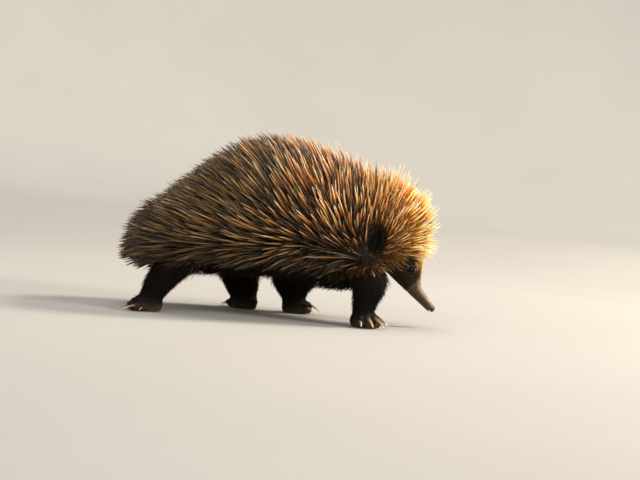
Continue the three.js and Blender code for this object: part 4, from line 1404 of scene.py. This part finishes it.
# ---------------------------------------------------------------- put the animal together
# The underfur's gold at the head is partly its own colour and partly painted glow; lighten makes it lighter up high as
# painted light.
under = fur_material("underfur", colour(27, 20, 12), colour(53, 41, 27), colour(86, 71, 52), (colour(82, 45, 12), colour(158, 97, 32), colour(234, 176, 90)), lighten=2.2)
pale = fur_material("long_hair", colour(50, 40, 28), colour(98, 86, 68), colour(150, 138, 118), (colour(110, 66, 28), colour(212, 164, 110), colour(255, 236, 208)), lighten=1.25)
dark = fur_material("dark_fur", colour(10, 8, 6), colour(21, 16, 11), colour(46, 35, 23), specular=0.12)
ruff = fur_material("ruff", colour(44, 28, 12), colour(120, 80, 36), colour(206, 156, 88), specular=0.14)
lining = fur_material("ear_fur", colour(14, 11, 8), colour(32, 26, 18), colour(60, 48, 34), lighten=4.5, specular=0.12)
# The face fur's gold colours, used along the front edge, are painted rim light.
face = fur_material("face_fur", colour(16, 11, 7), colour(34, 24, 15), colour(66, 49, 33), (colour(164, 104, 44), colour(255, 200, 112), colour(255, 242, 196)), specular=0.2)

build_quills()
build_underfur(under, pale)
build_belly(dark)
build_leg_fur(dark)
build_foot_fur(dark)
build_face_fur(face)
build_ear_fur(lining)
build_ruff(ruff)
build_claws()
build_eyes()

to_metres(skin_mesh)
skin_mesh.polygons.foreach_set("use_smooth", np.ones(len(skin_mesh.polygons), bool))
skin_mesh.materials.append(skin_material())
skin = bpy.data.objects.new("skin", skin_mesh)
bpy.context.scene.collection.objects.link(skin)
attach(skin, "root")
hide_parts("trunk", "tail", "neck", "head", "beak", "ear_left", "ear_right", *LEGS, *[k.replace("leg", "foot") for k in LEGS])


# ---------------------------------------------------------------- stage and light
def build_stage():
    """A pale floor that curves up into a round wall."""
    rows = [(0.0, 0.0)] + [(r, 0.0) for r in (0.6, 1.2, 2.0, 2.8, 3.4)]
    rows += [(3.4 + 1.4 * math.sin(a), 1.4 * (1 - math.cos(a))) for a in np.linspace(0.12, math.pi / 2, 13)]
    rows += [(4.8, z) for z in (2.2, 3.2, 4.2)]
    around = 96
    points = [(0.0, 0.0, -0.0002)]
    faces = []
    for r, z in rows[1:]:
        for k in range(around):
            a = 2 * math.pi * k / around
            points.append((r * math.cos(a), r * math.sin(a), z - 0.0002))
    for k in range(around):
        n = (k + 1) % around
        faces.append((0, 1 + k, 1 + n))
        for j in range(len(rows) - 2):
            a, b = 1 + j * around, 1 + (j + 1) * around
            faces.append((a + k, b + k, b + n, a + n))
    mesh = bpy.data.meshes.new("floor")
    mesh.from_pydata(points, [], faces)
    mesh.polygons.foreach_set("use_smooth", np.ones(len(mesh.polygons), bool))
    floor = bpy.data.objects.new("floor", mesh)
    bpy.context.scene.collection.objects.link(floor)
    s = Shader("pale_floor")
    place = s.tree.nodes.new("ShaderNodeTexCoord").outputs["Object"]
    length = s.tree.nodes.new("ShaderNodeVectorMath")
    length.operation = "LENGTH"
    s.put(length.inputs[0], place)
    shade = s.mix(s.ranged(length.outputs["Value"], 1.2, 4.2, smooth=True), colour(170, 168, 165), colour(222, 220, 216))
    shade = s.scaled(shade, s.ranged(s.noise(1.6, 3.0), 0.3, 0.7, 0.97, 1.03))
    mesh.materials.append(s.finish(shade, s.ranged(s.noise(6.0), 0.3, 0.7, 0.8, 0.9)))


def area_light(name, at, aim, size, power, tint):
    data = bpy.data.lights.new(name, "AREA")
    data.shape, data.size, data.energy, data.color = "DISK", size, power, tint
    light = bpy.data.objects.new(name, data)
    light.location = at
    light.rotation_mode = "QUATERNION"
    light.rotation_quaternion = (Vector(at) - Vector(aim)).to_track_quat("Z", "Y")
    light.visible_camera = False
    bpy.context.scene.collection.objects.link(light)


build_stage()
middle = (0.02, 0.0, 0.11)
area_light("key", (2.5, 0.95, 2.15), middle, 0.8, 148.0, (1.0, 0.90, 0.74))
area_light("rim", (2.9, -1.0, 1.25), middle, 0.9, 84.0, (1.0, 0.90, 0.74))
area_light("fill", (-1.3, -2.6, 1.9), middle, 2.2, 19.0, (0.96, 0.97, 1.0))
area_light("top", (-0.3, 0.4, 2.6), middle, 1.6, 26.0, (1.0, 0.96, 0.90))
world = bpy.data.worlds.new("studio")
world.use_nodes = True
world.node_tree.nodes["Background"].inputs["Color"].default_value = (0.95, 0.97, 1.0, 1.0)
world.node_tree.nodes["Background"].inputs["Strength"].default_value = 0.46
scene = bpy.context.scene
scene.world = world
scene.view_settings.view_transform = "Standard"
scene.view_settings.look = "None"
scene.view_settings.exposure = 0.0
